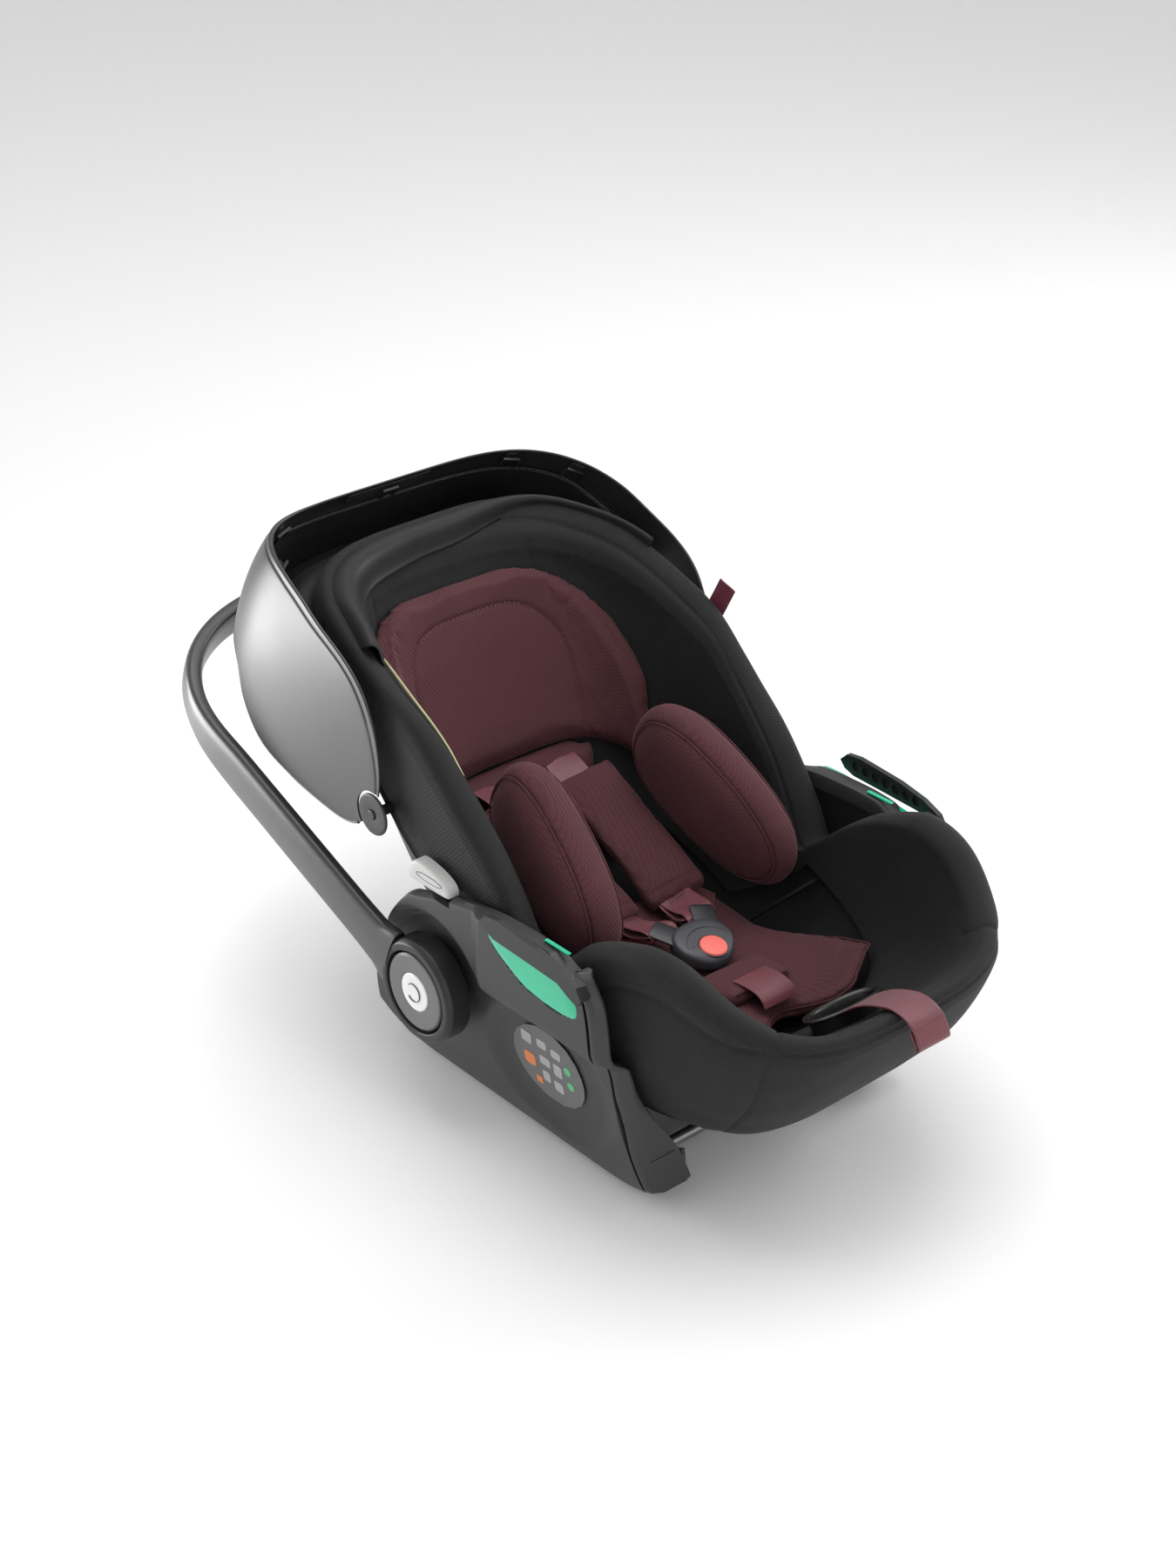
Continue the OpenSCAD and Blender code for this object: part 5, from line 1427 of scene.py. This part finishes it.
# ---------------------------------------------------------------- floor, light and camera
def backdrop():
    """A pale paper floor that rises far behind the seat."""
    rise = np.linspace(0, np.pi / 2, 16)[1:]
    r = np.concatenate([np.linspace(0.05, 9, 40), 9 + 3 * np.sin(rise), np.full(5, 12.0)])
    z = np.concatenate([np.zeros(40), 3 - 3 * np.cos(rise), np.linspace(4, 9, 5)])
    q = np.linspace(0, 2 * np.pi, 96, endpoint=False)[:, None]
    G = np.stack(np.broadcast_arrays(r * np.cos(q), r * np.sin(q), z[None]), -1) * 1000
    idx = numbered(G)
    m = new_material("floor_paper", (0.93, 0.93, 0.93), 0.8, Specular_IOR_Level=0.1)[0]
    make("backdrop", G, [quads(idx, True), idx[:, 0][None]], m, body=None, sharp=None, raw=True)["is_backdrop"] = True


def area(name, loc, target, size, power):
    """A rectangular light that looks at a point."""
    d = bpy.data.lights.new(name, "AREA")
    d.shape = "RECTANGLE"
    d.size, d.size_y = size
    d.energy = power
    o = bpy.data.objects.new(name, d)
    bpy.context.scene.collection.objects.link(o)
    o.location = loc
    o.rotation_euler = (Vector(target) - Vector(loc)).to_track_quat("-Z", "Y").to_euler()


backdrop()
area("card_back_left", (-0.62, 0.86, 0.22), (-0.2, 0.34, 0.36), (0.6, 0.34), 6)
area("top", (0.3, 0.3, 3.0), (0, 0, 0.2), (2.4, 2.4), 44)
area("fill_front", (-1.0, -3.0, 1.3), (0, 0, 0.2), (2.2, 1.6), 15)
area("rim_right", (2.4, -0.6, 1.4), (0, -0.1, 0.25), (1.4, 1.4), 26)
wd = bpy.data.worlds.new("studio")
bpy.context.scene.world = wd
wd.use_nodes = True
wd.node_tree.nodes["Background"].inputs[0].default_value = (0.985, 0.985, 0.99, 1)
wd.node_tree.nodes["Background"].inputs[1].default_value = 0.72
bpy.context.scene.view_settings.view_transform = "Standard"

cam = bpy.data.cameras.new("camera")
cam.lens, cam.sensor_width = 61.0, 36.0
cam_o = bpy.data.objects.new("camera", cam)
bpy.context.scene.collection.objects.link(cam_o)
mid = (np.array(CAD_LOW) + np.array(CAD_HIGH)) / 2
look = Vector((mid[0] + 0.012, mid[1] + 0.010, mid[2] + 0.016))
cam_o.location = look + Vector((-1.434, -1.650, 1.212))
cam_o.rotation_euler = (look - cam_o.location).to_track_quat("-Z", "Y").to_euler()
bpy.context.scene.camera = cam_o

low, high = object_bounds()
